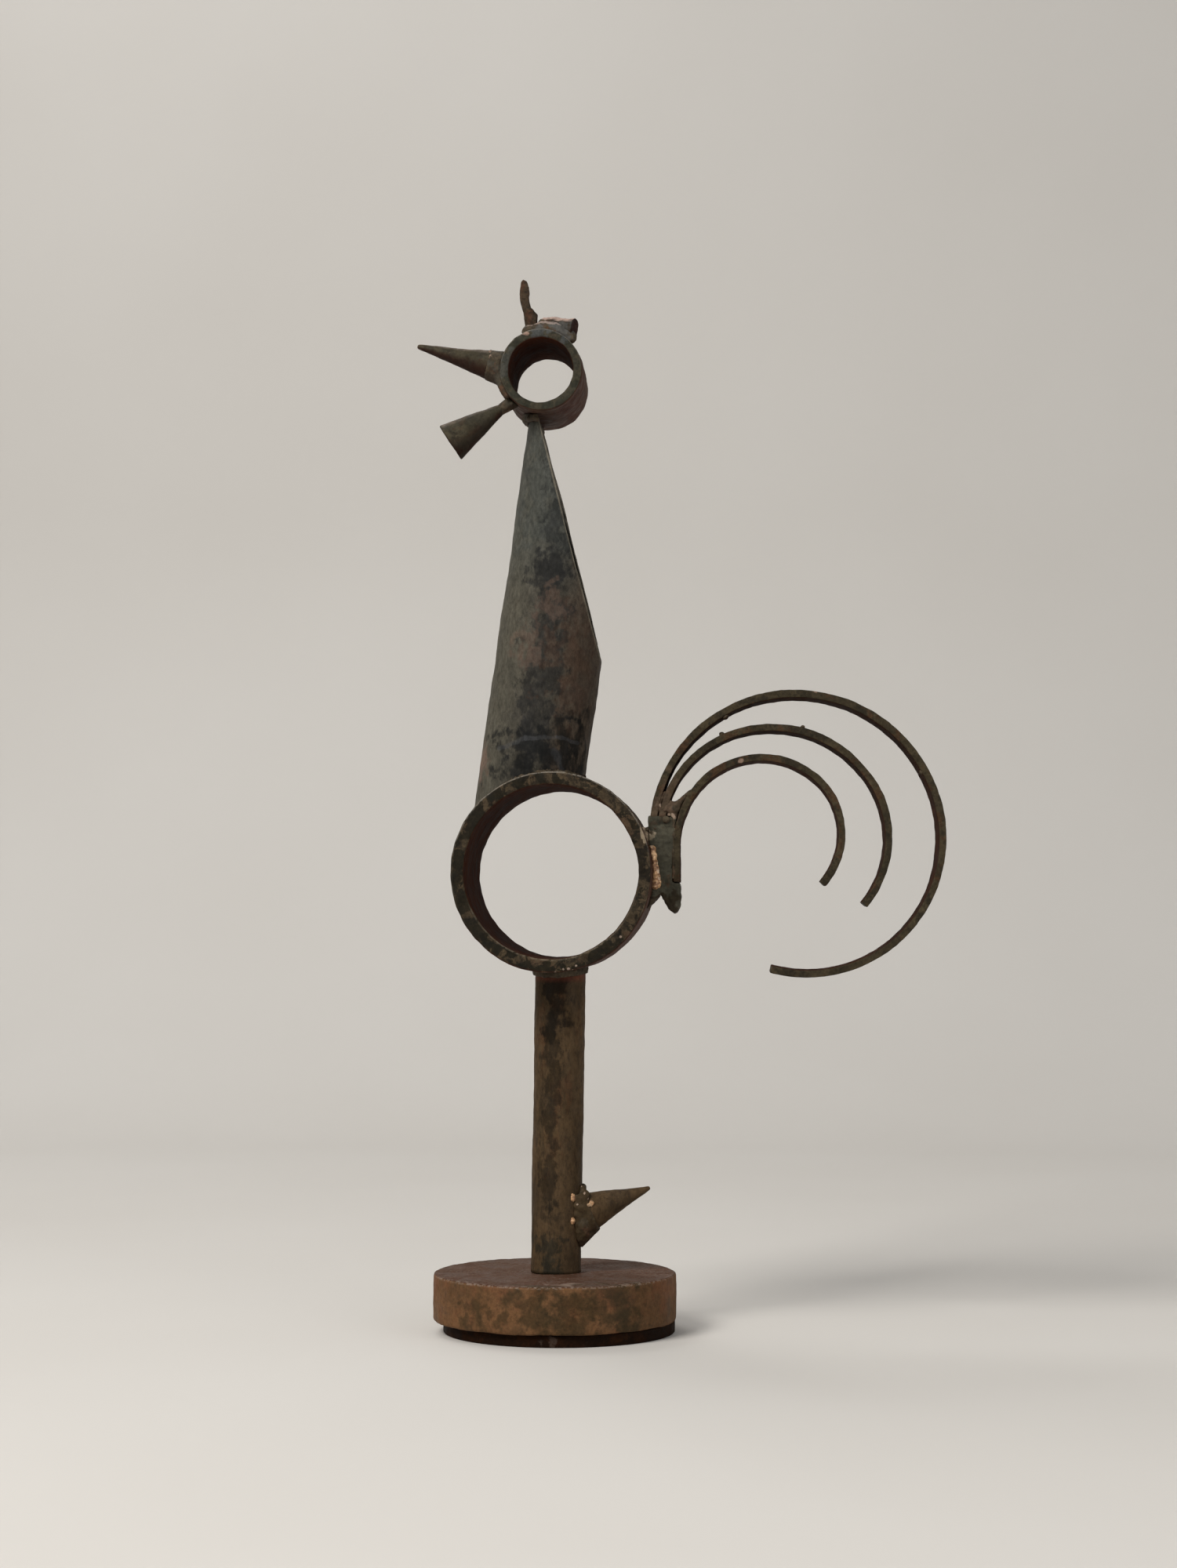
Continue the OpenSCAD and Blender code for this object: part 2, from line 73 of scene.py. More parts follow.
def extent(node):
    low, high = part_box(node)
    return high - low


# Sizes and places of the pieces

BASE_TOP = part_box("base_disc")[1].z

STEM_R = 11.4 * MM
STEM_FOOT = Vector((0.4 * MM, 0, BASE_TOP))
STEM_LEAN = math.radians(0.9)

SPUR_TILT = math.radians(22.5)
SPUR_RISE = 27.8 * MM
SPUR_GAP = 4.3 * MM
SPUR_R = 8.45 * MM
SPUR_LENGTH = 28.5 * MM
CONE_TIP_R = 0.9 * MM

BODY_AT = middle("body_ring")
BODY_R = extent("body_ring").z / 2
BODY_WALL = 5.8 * MM
BODY_HALF = extent("body_ring").y / 2

NECK_R = 24.15 * MM
NECK_WALL = 3.2 * MM
NECK_LEAN = math.radians(7.9)
NECK_CUT = math.radians(22.15)
NECK_UP = Vector((math.sin(NECK_LEAN), 0, math.cos(NECK_LEAN)))
NECK_SHORT_SIDE = 100.8 * MM
NECK_AT = BODY_AT - Vector((17 * MM, 0, 0))

HEAD_AT = middle("head_ring")
HEAD_R = extent("head_ring").z / 2
HEAD_WALL = 3.9 * MM
HEAD_HALF = extent("head_ring").y / 2

# The beaks and the comb stand on the front half of the head ring
FACE_Y = -0.75 * HEAD_HALF
UPPER_PLACE = math.radians(8)
UPPER_TILT = math.radians(15.2)
UPPER_GAP = 4.6 * MM
UPPER_R = 6.6 * MM
UPPER_LENGTH = 34.5 * MM
LOWER_PLACE = math.radians(43)
LOWER_TILT = math.radians(33)
LOWER_GAP = 5 * MM
LOWER_ROOT_R = 2.1 * MM
LOWER_END_R = 9.05 * MM
LOWER_LENGTH = 28.8 * MM
ROD_R = 4.6 * MM
ROD_LENGTH = 15.5 * MM
ROD_FALL = math.radians(6.9)
ROD_TURN = math.radians(17.6)

TAIL_HALF = extent("feather_outer").y / 2
BAR_T = 3.3 * MM
BRACKET_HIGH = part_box("tail_bracket")[1]
BRACKET_X = BODY_AT.x + BODY_R - 2.05 * MM
BRACKET_TOP = BRACKET_HIGH.z
BRACKET_W = 10.9 * MM
BRACKET_H = 43.5 * MM

# A place inside all three curls: the undersides, painted in shade, face it
TAIL_MIDDLE = Vector((102, 0, 222)) * MM

# Each feather: where its root stands, the heading of the root, the straight stretch, and then
# the radius and the turn of each arc
FEATHERS = {
    "feather_outer": {
        "root": Vector((BRACKET_X + 0.06 * BRACKET_W, 0, BRACKET_TOP)),
        "heading": 81.1, "lead": 2 * MM,
        "arcs": [(65.1 * MM, 74.7), (68.09 * MM, 84), (62.5 * MM, 117.9)]},
    "feather_middle": {
        "root": Vector((BRACKET_X + 0.4 * BRACKET_W, 0, BRACKET_TOP)),
        "heading": 78.1, "lead": 2 * MM,
        "arcs": [(49.8 * MM, 57.8), (55.18 * MM, 77.9), (48.11 * MM, 72.7)]},
    "feather_inner": {
        "root": Vector((BRACKET_X + BRACKET_W, 0, BRACKET_TOP - 0.68 * BRACKET_H)),
        "heading": 90, "lead": 0.38 * BRACKET_H,
        "arcs": [(43.06 * MM, 30.2), (39.5 * MM, 93.8), (35.16 * MM, 98.2)]},
}

# Room that a surface's unevenness takes, inside the form
SKIN = 0.15 * MM

# Faces up to this far past a bore's radius count as its own
BORE_MARGIN = 0.2 * MM

# Steps round the rounding of a profile's corner
CORNER_STEPS = 3


# Tools for shapes

def turn_up(angle):
    """A turn that points +Z along an angle above +X, in the plane of the picture."""
    return Matrix.Rotation(math.pi / 2 - angle, 4, "Y")


def placed(name, data):
    """An object in the scene, made of a mesh, a lamp or a camera."""
    thing = bpy.data.objects.new(name, data)
    bpy.context.scene.collection.objects.link(thing)
    return thing


def meshed(name, bm):
    """The mesh that a bmesh holds."""
    mesh = bpy.data.meshes.new(name)
    bm.to_mesh(mesh)
    bm.free()
    return mesh


def roughen(bm, seed, *waves):
    """Unevenness, as forging, scale and rust leave it: waves of a depth and a length, in millimetres."""
    for i, (depth, length) in enumerate(waves, seed):
        bm.normal_update()
        shift = Vector((i * 7.3, i * 3.1, i * 5.7))
        for vert in bm.verts:
            vert.co += vert.normal * (depth * MM) * noise.noise(vert.co / (length * MM) + shift)


def finish_piece(bm, node, seed=0, *waves, kind="iron", soot_and_shade=None, shaded_faces=()):
    """Roughens a mesh and hands it over as the piece that stands for a CAD node."""
    roughen(bm, seed, *waves)
    for face in bm.faces:
        face.smooth = True
    # Faces that are given painted shade take the second material
    for face in shaded_faces:
        face.material_index = 1
    name = f"{node}_{kind}"
    mesh = meshed(name, bm)
    piece = placed(name, mesh)
    mesh.materials.append(finish_of(node))
    if soot_and_shade:
        mesh.materials.append(soot_and_shade)
    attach(piece, "root")
    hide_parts(node)


def node_mesh(node):
    """A merged copy of a CAD node's mesh."""
    bm = bmesh.new()
    bm.from_mesh(frame["nodes"][node].data)
    bmesh.ops.remove_doubles(bm, verts=bm.verts, dist=MERGE_GAP)
    return bm


def remeshed(bm, voxel, smoothing):
    """The same form as one closed skin of small, even faces."""
    mesh = meshed("remeshed", bm)
    piece = placed("remeshed", mesh)
    skin = piece.modifiers.new("skin", "REMESH")
    skin.mode = "VOXEL"
    skin.voxel_size = voxel
    graph = bpy.context.evaluated_depsgraph_get()
    result = bmesh.new()
    result.from_object(piece, graph)
    bpy.data.objects.remove(piece)
    bpy.data.meshes.remove(mesh)
    for _ in range(smoothing):
        bmesh.ops.smooth_vert(
            result, verts=result.verts, factor=0.5, use_axis_x=True, use_axis_y=True, use_axis_z=True)
    return result


def lump(bm, place, size, squash=(1, 1, 1)):
    """One rounded drop of metal."""
    matrix = Matrix.Translation(place) @ Matrix.Diagonal((*squash, 1))
    bmesh.ops.create_icosphere(bm, subdivisions=3, radius=size, matrix=matrix)


def lumps(bm, spots, squash=(1, 1, 1)):
    """Drops of metal: the place and the size of each, in millimetres."""
    for x, y, z, size in spots:
        lump(bm, Vector((x, y, z)) * MM, size * MM, squash)


def bead(bm, path, size, seed):
    """A run of overlapping drops along a path, as a welder lays them."""
    for i, place in enumerate(path):
        wobble = 1 + 0.22 * noise.noise(Vector((i * 0.9, seed, 0)))
        drift = noise.noise_vector(Vector((i * 0.7, 0, seed))) * size * 0.18
        lump(bm, place + drift, size * wobble)


def turned(profile, place, steps, axis_closed=True):
    """A lathe-turned solid: a profile of (radius, height) spun round +Z and put in place."""
    bm = bmesh.new()
    points = [bm.verts.new((r, 0, h)) for r, h in profile]
    edges = [bm.edges.new(pair) for pair in zip(points, points[1:])]
    if not axis_closed:
        edges.append(bm.edges.new((points[-1], points[0])))
    bmesh.ops.spin(
        bm, geom=bm.verts[:] + bm.edges[:], cent=(0, 0, 0), axis=(0, 0, 1), dvec=(0, 0, 0),
        angle=2 * math.pi, steps=steps, use_merge=True, use_duplicate=False)
    bmesh.ops.remove_doubles(bm, verts=bm.verts, dist=LATHE_GAP)
    bmesh.ops.recalc_face_normals(bm, faces=bm.faces)
    bmesh.ops.transform(bm, matrix=place, verts=bm.verts)
    return bm


def rounded_corner(r, h, radius, start):
    """Points round a corner's rounding, whose centre is at (r, h), over a quarter turn."""
    turns = [start + i / CORNER_STEPS * math.pi / 2 for i in range(CORNER_STEPS + 1)]
    return [(r + radius * math.cos(turn), h + radius * math.sin(turn)) for turn in turns]


def dense_profile(corners, gap):
    """A profile with extra points, so that no stretch is longer than a gap."""
    points = []
    for (r1, h1), (r2, h2) in zip(corners, corners[1:]):
        parts = int(math.hypot(r2 - r1, h2 - h1) / gap) + 1
        points += [(r1 + (r2 - r1) * i / parts, h1 + (h2 - h1) * i / parts) for i in range(parts)]
    return points + [corners[-1]]


def drum_profile(r, low, high, edge, gap):
    """A drum with rolled edges, from its axis round to its axis."""
    return dense_profile(
        [(0, low)] + rounded_corner(r - edge, low + edge, edge, -math.pi / 2)
        + rounded_corner(r - edge, high - edge, edge, 0) + [(0, high)], gap)


def round_axis(axis, angle):
    """The direction at an angle round an axis that lies in the plane of the picture."""
    return SIDEWAYS.cross(axis) * math.cos(angle) + SIDEWAYS * math.sin(angle)


def only(kind, items):
    """The verts, edges or faces among an operator's results."""
    return [item for item in items if isinstance(item, kind)]


def round_edges(bm, edges, size):
    bmesh.ops.bevel(
        bm, geom=edges, offset=size, offset_type="OFFSET", affect="EDGES", segments=2,
        profile=0.5, material=-1)


# Materials

def srgb(red, green, blue):
    """A colour given as it looks on screen, 0 to 255."""
    def linear(value):
        value /= 255
        return value / 12.92 if value <= 0.04045 else ((value + 0.055) / 1.055) ** 2.4
    return (linear(red), linear(green), linear(blue), 1)


# Colours as they look on screen: a painted shade for undersides, and pale colours for wear and spatter that
# also serve for painted highlights and glints
UNDERSIDE_SHADE = (44, 24, 13)
PALE_WEAR_AND_HIGHLIGHT = (150, 132, 118)
PALE_SPATTER_AND_GLINT = (164, 142, 124)

DULL_SPECULAR = 0.04

# Between these shares of its reach, a patch fades from whole to nothing
FADE_IN = 0.3
FADE_OUT = 1.35

# The size of the waves that the outlines of patches wander in
WANDER_SIZE = 7 * MM

# Most of a noise's values lie between these
NOISE_LOW = 0.33
NOISE_HIGH = 0.67

# How close the lathe's lines lie on top of the base
TURNING_SCALE = 190

# Where the front faces of the tail's pieces stand, in millimetres
TAIL_FRONT = -12.5


class Finish:
    """Builds one procedural material, layer on layer, on Object coordinates. Lengths are in millimetres."""

    def __init__(self, name, tone, metallic=0.05, specular=0.14):
        self.material = bpy.data.materials.new(name)
        self.material.use_nodes = True
        self.tree = self.material.node_tree
        self.shader = self.tree.nodes["Principled BSDF"]
        self.shader.inputs["Metallic"].default_value = metallic
        self.shader.inputs["Specular IOR Level"].default_value = specular
        self.coords = self.node("ShaderNodeTexCoord").outputs["Object"]
        self.normal = self.node("ShaderNodeNewGeometry").outputs["Normal"]
        self.tone = srgb(*tone)
        self.colour = self.tone
        self.roughness = self.height = self.fine = self.mid = self.mottle = self.wander = None
        self.contrast = 1.0
        self.edge = 0.24

    def feed(self, socket, value):
        """Gives a socket a link or a fixed value."""
        if isinstance(value, bpy.types.NodeSocket):
            self.tree.links.new(value, socket)
        else:
            socket.default_value = value

    def node(self, kind, fed=None, **settings):
        """A shader node with its settings, and its sockets fed by name or by number."""
        made = self.tree.nodes.new(kind)
        for key, value in settings.items():
            setattr(made, key, value)
        for key, value in (fed or {}).items():
            self.feed(made.inputs[key], value)
        return made

    def math(self, operation, a, b=0, clamp=False):
        return self.node("ShaderNodeMath", {0: a, 1: b}, operation=operation, use_clamp=clamp).outputs[0]

    def vector(self, operation, a, b=(0, 0, 0), c=(0, 0, 0)):
        """A sum on vectors. A length, a distance and a dot product are numbers."""
        made = self.node("ShaderNodeVectorMath", {0: a, 1: b, 2: c}, operation=operation)
        return made.outputs["Value" if operation in ("LENGTH", "DISTANCE", "DOT_PRODUCT") else "Vector"]

    def scaled(self, vector, times):
        made = self.node("ShaderNodeVectorMath", operation="SCALE")
        self.feed(made.inputs[0], vector)
        self.feed(made.inputs["Scale"], times)
        return made.outputs[0]

    def both(self, a, b):
        """1 where two masks are 1."""
        return self.math("MULTIPLY", a, b)

    def ramp(self, value, low, high, out_low=0.0, out_high=1.0):
        made = self.node("ShaderNodeMapRange", {
            "Value": value, "From Min": low, "From Max": high, "To Min": out_low, "To Max": out_high,
        }, interpolation_type="SMOOTHSTEP")
        return made.outputs["Result"]

    def grain(self, size, detail=6, rough=0.6, stretch=(1, 1, 1), shift=(0, 0, 0), warp=0.0):
        """Noise with features of about a size. Its values crowd round its middle and are spread out."""
        mapping = self.node("ShaderNodeMapping", {
            "Vector": self.coords, "Location": shift, "Scale": stretch})
        made = self.node("ShaderNodeTexNoise", {
            "Vector": mapping.outputs[0], "Scale": 1 / (size * MM), "Detail": detail,
            "Roughness": rough, "Distortion": warp})
        spread = self.node("ShaderNodeMapRange", {
            "Value": made.outputs["Fac"], "From Min": NOISE_LOW, "From Max": NOISE_HIGH})
        return spread.outputs["Result"]

    def mixed(self, *terms):
        """A sum of (value, share) pairs, each value taken about its middle."""
        total = None
        for value, share in terms:
            term = self.both(self.math("SUBTRACT", value, 0.5), share)
            total = term if total is None else self.math("ADD", total, term)
        return total

    def granular(self, mask, amount=1.0):
        """Breaks a soft mask up into the clouds and grains of the surface's own scale."""
        broken = self.math("ADD", mask, self.mixed((self.fine, 0.55 * amount), (self.mid, 0.75 * amount)))
        return self.ramp(broken, 0.5 - self.edge, 0.5 + self.edge)

    def within(self, distance, reach, ragged):
        """1 near a place and 0 beyond a reach, with a grainy edge that stays inside it."""
        soft = self.ramp(distance, reach * MM * FADE_OUT, reach * MM * FADE_IN)
        return self.both(self.granular(soft, ragged), self.ramp(soft, 0, 0.15))

    def strayed(self, reach):
        """The coordinates, bent by up to a share of a reach, so outlines wander."""
        if self.wander is None:
            self.wander = self.node("ShaderNodeTexNoise", {
                "Vector": self.coords, "Scale": 1 / WANDER_SIZE, "Detail": 5}).outputs["Color"]
        return self.vector("MULTIPLY_ADD", self.wander, [4 * reach * MM] * 3, self.coords)

    def patch(self, x, y, z, reach, ragged, stretch):
        """A ragged, grainy patch round a place: 1 in its middle, 0 outside."""
        centre = [(value + 2 * reach) * MM for value in (x, y, z)]
        offset = self.vector("SUBTRACT", self.strayed(reach), centre)
        return self.within(self.vector("LENGTH", self.vector("MULTIPLY", offset, stretch)), reach, ragged)

    def streak(self, x1, z1, x2, z2, reach, ragged):
        """A ragged band from one place to another on the front side."""
        start = Vector((x1, 0, z1)) * MM
        along = Vector((x2, 0, z2)) * MM - start
        offset = self.vector("SUBTRACT", self.strayed(reach), start + Vector((2, 2, 2)) * reach * MM)
        flat = self.vector("MULTIPLY", offset, (1, 0, 1))
        share = self.vector("DOT_PRODUCT", flat, along / along.length_squared)
        nearest = self.scaled(along, self.math("ADD", share, 0, clamp=True))
        band = self.within(self.vector("DISTANCE", flat, nearest), reach, ragged)
        return self.both(band, self.facing((0, -1, 0), 0, 0.3))

    def facing(self, direction, low=0.55, high=0.85):
        """1 where the surface faces a fixed direction of the object."""
        return self.ramp(self.vector("DOT_PRODUCT", self.normal, direction), low, high)

    def span(self, value, low, high, soft):
        """1 where a length lies between two limits, with soft ends."""
        rise = self.ramp(value, (low - soft) * MM, (low + soft) * MM)
        fall = self.ramp(value, (high + soft) * MM, (high - soft) * MM)
        return self.both(rise, fall)

    def axis(self, number):
        return self.node("ShaderNodeSeparateXYZ", {0: self.coords}).outputs[number]

    def heights(self, low, high, soft=2):
        """1 between two heights above the table."""
        return self.span(self.axis(2), low, high, soft)

    def ring(self, centre, low, high):
        """1 where the distance from an axis along Y lies between two radii."""
        flat = self.vector("MULTIPLY", self.vector("SUBTRACT", self.coords, centre), (1, 0, 1))
        return self.span(self.vector("LENGTH", flat), low, high, 0.3)

    def line(self, point, across, width, low, high):
        """A thin line: near a plane through a point, between two heights."""
        offset = self.vector("SUBTRACT", self.coords, [value * MM for value in point])
        distance = self.math("ABSOLUTE", self.vector("DOT_PRODUCT", offset, across))
        return self.both(self.ramp(distance, width * MM, width * 0.3 * MM), self.heights(low, high))

    def lay(self, mask, colour, strength):
        """Lays a linear colour over what is there, through a mask."""
        mix = self.node("ShaderNodeMix", {
            "Factor": self.both(mask, strength), 6: self.colour, 7: colour}, data_type="RGBA")
        self.colour = mix.outputs[2]

    def paint(self, mask, colour, strength):
        """Lays a colour, as it looks on screen, over what is there."""
        self.lay(mask, srgb(*colour), strength)

    def lighten(self, mask, times, strength):
        """Lays a lighter tone of the iron itself over what is there."""
        self.lay(mask, [min(1, times * level) for level in self.tone[:3]] + [1], strength)

    def smear(self, colour, strength, ragged, stretch, *spots):
        """Paints stretched patches: the place and the reach of each."""
        for spot in spots:
            self.paint(self.patch(*spot, ragged, stretch), colour, strength)

    def daub(self, colour, strength, ragged, *spots):
        """Paints round patches."""
        self.smear(colour, strength, ragged, (1, 1, 1), *spots)

    def flecks(self, colour, strength, *spots):
        """Paints small spots on the front side."""
        self.smear(colour, strength, 0.3, (1, 0.15, 1), *spots)

    def tail_flecks(self, colour, strength, *spots):
        """Paints small spots on the front of the tail: the x, the z and the reach of each."""
        self.flecks(colour, strength, *((x, TAIL_FRONT, z, reach) for x, z, reach in spots))

    def stroke(self, colour, strength, ragged, *bands):
        """Paints bands on the front side: both ends of each, in x and z, and its reach."""
        for band in bands:
            self.paint(self.streak(*band, ragged), colour, strength)

    def face(self, colour, strength, direction, low=0.55, high=0.85):
        """Paints what faces a fixed direction of the object."""
        self.paint(self.facing(direction, low, high), colour, strength)

    def sift(self, colour, strength, value, low, high):
        """Paints where a value rises from one level to another."""
        self.paint(self.ramp(value, low, high), colour, strength)

    def shade(self, value, low, high):
        """Multiplies the colour by a level that a noise sets between two limits."""
        self.colour = self.scaled(self.colour, self.ramp(value, 0, 1, low, high))

    def shade_below(self, colour=UNDERSIDE_SHADE, strength=0.6):
        """Paints shade on the undersides: a warm dark with a tinge of reflected red light."""
        self.face(colour, strength, (0, 0, -1), 0.1, 0.8)

    def done(self, bump=0.3, depth=0.4):
        """Joins the layers to the shader, with a bump of a strength and a depth."""
        if self.mottle is not None:
            self.shade(self.mottle, 1 + 0.3 * self.contrast, 1 - 0.35 * self.contrast)
            self.shade(self.fine, 1 + 0.3 * self.contrast, 1 - 0.3 * self.contrast)
        self.feed(self.shader.inputs["Base Color"], self.colour)
        self.feed(self.shader.inputs["Roughness"], self.roughness)
        made = self.node("ShaderNodeBump", {
            "Strength": bump, "Distance": depth * MM, "Height": self.height})
        self.feed(self.shader.inputs["Normal"], made.outputs[0])
        return self.material


# Each iron: its tone, its darker scale and its rust, the size of its clouds in millimetres, the shares
# of scale and of rust, the contrast, the softness of edges, and the squeeze of its grains along Z
IRONS = {
    "oxidised base iron": ((104, 74, 48), (64, 48, 29), (110, 70, 46), 14, 0.3, 0.4, 0.4, 0.55, 1),
    "black pad iron": ((36, 20, 10), (16, 10, 6), (46, 26, 12), 8, 0.6, 0.35, 0.4, 0.3, 1),
    "blackened stem iron": ((74, 58, 39), (28, 22, 13), (76, 51, 31), 7, 0.15, 0.3, 0.5, 0.45, 0.5),
    "pipe ring iron": ((68, 57, 42), (18, 15, 9), (72, 54, 40), 6, 0.5, 0.3, 0.65, 0.22, 1),
    "pipe neck iron": ((64, 60, 52), (32, 30, 26), (72, 55, 43), 7, 0.3, 0.15, 0.65, 0.42, 0.6),
    "beak iron": ((66, 60, 46), (30, 26, 17), (70, 46, 30), 6, 0.35, 0.25, 0.4, 0.3, 1),
    "comb iron": ((62, 50, 37), (28, 22, 14), (76, 48, 33), 4, 0.45, 0.45, 0.7, 0.3, 1),
    "bracket iron": ((76, 73, 61), (44, 43, 35), (80, 58, 40), 6, 0.25, 0.25, 0.5, 0.3, 1),
    "flat bar iron": ((60, 52, 37), (26, 22, 13), (70, 46, 28), 6, 0.4, 0.35, 0.6, 0.3, 1),
    "weld metal": ((76, 66, 52), (32, 27, 18), (88, 58, 40), 4, 0.3, 0.3, 0.5, 0.3, 1),
}


def scaled_iron(name):
    """Old scaled iron: clouds and grains of a darker scale, rust bloom, specks and wear."""
    tone, dark, rust, coarse, dark_share, rust_share, contrast, edge, squeeze = IRONS[name]
    coat = Finish(name, tone)
    coat.contrast = contrast
    coat.edge = edge

    def clouds(size, detail, rough, shift=(0, 0, 0), warp=0.0):
        return coat.grain(size, detail, rough, (1, 1, squeeze), shift, warp)

    def spread(value, share, ragged):
        level = share - 0.25
        return coat.granular(coat.ramp(value, level, level + 0.5), ragged)

    coat.fine = clouds(1.5, 6, 0.65, (5, 2, 1))
    coat.mid = clouds(coarse * 0.55, 6, 0.62, (2, 9, 3))
    coat.mottle = clouds(3.4, 8, 0.7, (7, 3, 5), 0.4)
    coat.sift(dark, 0.45, clouds(coarse * 2.2, 5, 0.55), 0.35, 0.85)
    blotch = clouds(coarse, 8, 0.62, (1, 4, 2), 0.3)
    coat.paint(spread(blotch, 0.95 - 0.75 * dark_share, 0.6), dark, 0.35 + 0.35 * contrast)
    bloom = clouds(coarse * 1.5, 8, 0.66, (3, 1, 2))
    coat.paint(spread(bloom, 1 - 0.75 * rust_share, 0.8), rust, 0.55)
    coat.sift(dark, 0.5 * contrast, coat.fine, 0.6, 0.95)
    pale = coat.grain(1.1, 5, 0.7, shift=(1, 8, 4))
    coat.lighten(coat.ramp(pale, 0.72, 0.98), 2.2, 0.4 * contrast)
    coat.roughness = coat.ramp(blotch, 0.1, 0.9, 0.85, 0.6)
    coat.height = coat.mixed((blotch, 0.4), (coat.mid, 0.4), (coat.mottle, 0.3), (coat.fine, 0.3))
    return coat


def shade_iron(name, tone, dark):
    """A matt, dark iron for bores and undersides: painted shade, warm with a tinge of reflected red light.
    """
    coat = Finish(name, tone, 0.0, DULL_SPECULAR)
    cloud = coat.grain(9, 7, 0.65)
    coat.sift(dark, 0.8, cloud, 0.3, 0.8)
    fine = coat.grain(1.4, 5, 0.65, shift=(4, 1, 7))
    coat.lighten(coat.ramp(fine, 0.55, 0.9), 1.7, 0.4)
    coat.roughness = coat.ramp(cloud, 0.2, 0.8, 0.95, 0.8)
    coat.height = coat.mixed((cloud, 0.6), (fine, 0.4))
    return coat.done(0.3, 0.5)


def base_finish():
    coat = scaled_iron("oxidised base iron")
    coat.face((64, 36, 23), 0.75, (0, 0, 1))
    turning = coat.node("ShaderNodeTexWave", {
        "Vector": coat.coords, "Scale": TURNING_SCALE, "Distortion": 2.5, "Detail": 2},
        wave_type="RINGS", rings_direction="Z")
    lines = coat.both(turning.outputs["Fac"], coat.facing((0, 0, 1)))
    coat.paint(lines, (62, 44, 38), 0.25)
    coat.daub(
        (52, 42, 24), 0.7, 0.5, (-6, -54, 15, 14.3), (10, -54, 10, 15.6), (27, -48, 17, 14.3),
        (34, -43, 11, 10.4), (-34, -44, 14, 9.1), (0, 54, 15, 15.6), (-40, 36, 12, 13))
    coat.smear(PALE_WEAR_AND_HIGHLIGHT, 0.5, 0.9, (0.8, 1.6, 1), (9, -44, 27, 7))
    # Painted highlight: a pale line along the front of the top rim, where light catches it
    rim = coat.both(coat.heights(25.6, 27, 0.5), coat.ramp(coat.fine, 0.35, 0.8))
    coat.paint(coat.both(rim, coat.facing((0, -1, 0.4), 0.2, 0.7)), PALE_WEAR_AND_HIGHLIGHT, 0.6)
    coat.height = coat.math("ADD", coat.height, coat.both(lines, 0.3))
    return coat.done(0.3, 0.5)


def pad_finish():
    coat = scaled_iron("black pad iron")
    coat.feed(coat.shader.inputs["Specular IOR Level"], DULL_SPECULAR)
    coat.smear((98, 84, 74), 0.3, 1.3, (0.7, 1, 3), (5, -52, 1.5, 7))
    return coat.done(0.25, 0.4)


def screw_finish():
    coat = Finish("plain steel", (150, 150, 152), metallic=1.0)
    brushed = coat.grain(1.5, 4, stretch=(1, 1, 0.1))
    coat.sift((112, 110, 108), 0.6, brushed, 0.4, 0.7)
    coat.roughness = coat.ramp(brushed, 0.3, 0.7, 0.3, 0.5)
    coat.height = brushed
    return coat.done(0.1, 0.1)


def stem_finish():
    coat = scaled_iron("blackened stem iron")
    coat.stroke((22, 15, 7), 0.8, 0.7, (1.2, 164, 0.5, 136, 5.5))
    coat.stroke((26, 20, 10), 0.65, 1.1, (-0.5, 140, -1.5, 58, 3.6))
    coat.stroke((34, 28, 16), 0.4, 1.2, (-6, 104, -6, 70, 1.2))
    coat.smear((32, 33, 26), 0.7, 1.1, (0.9, 1, 0.9), (-2, -12, 35, 9))
    coat.paint(coat.heights(158, 162, 1.5), (92, 46, 32), 0.55)
    return coat.done(0.3, 0.5)


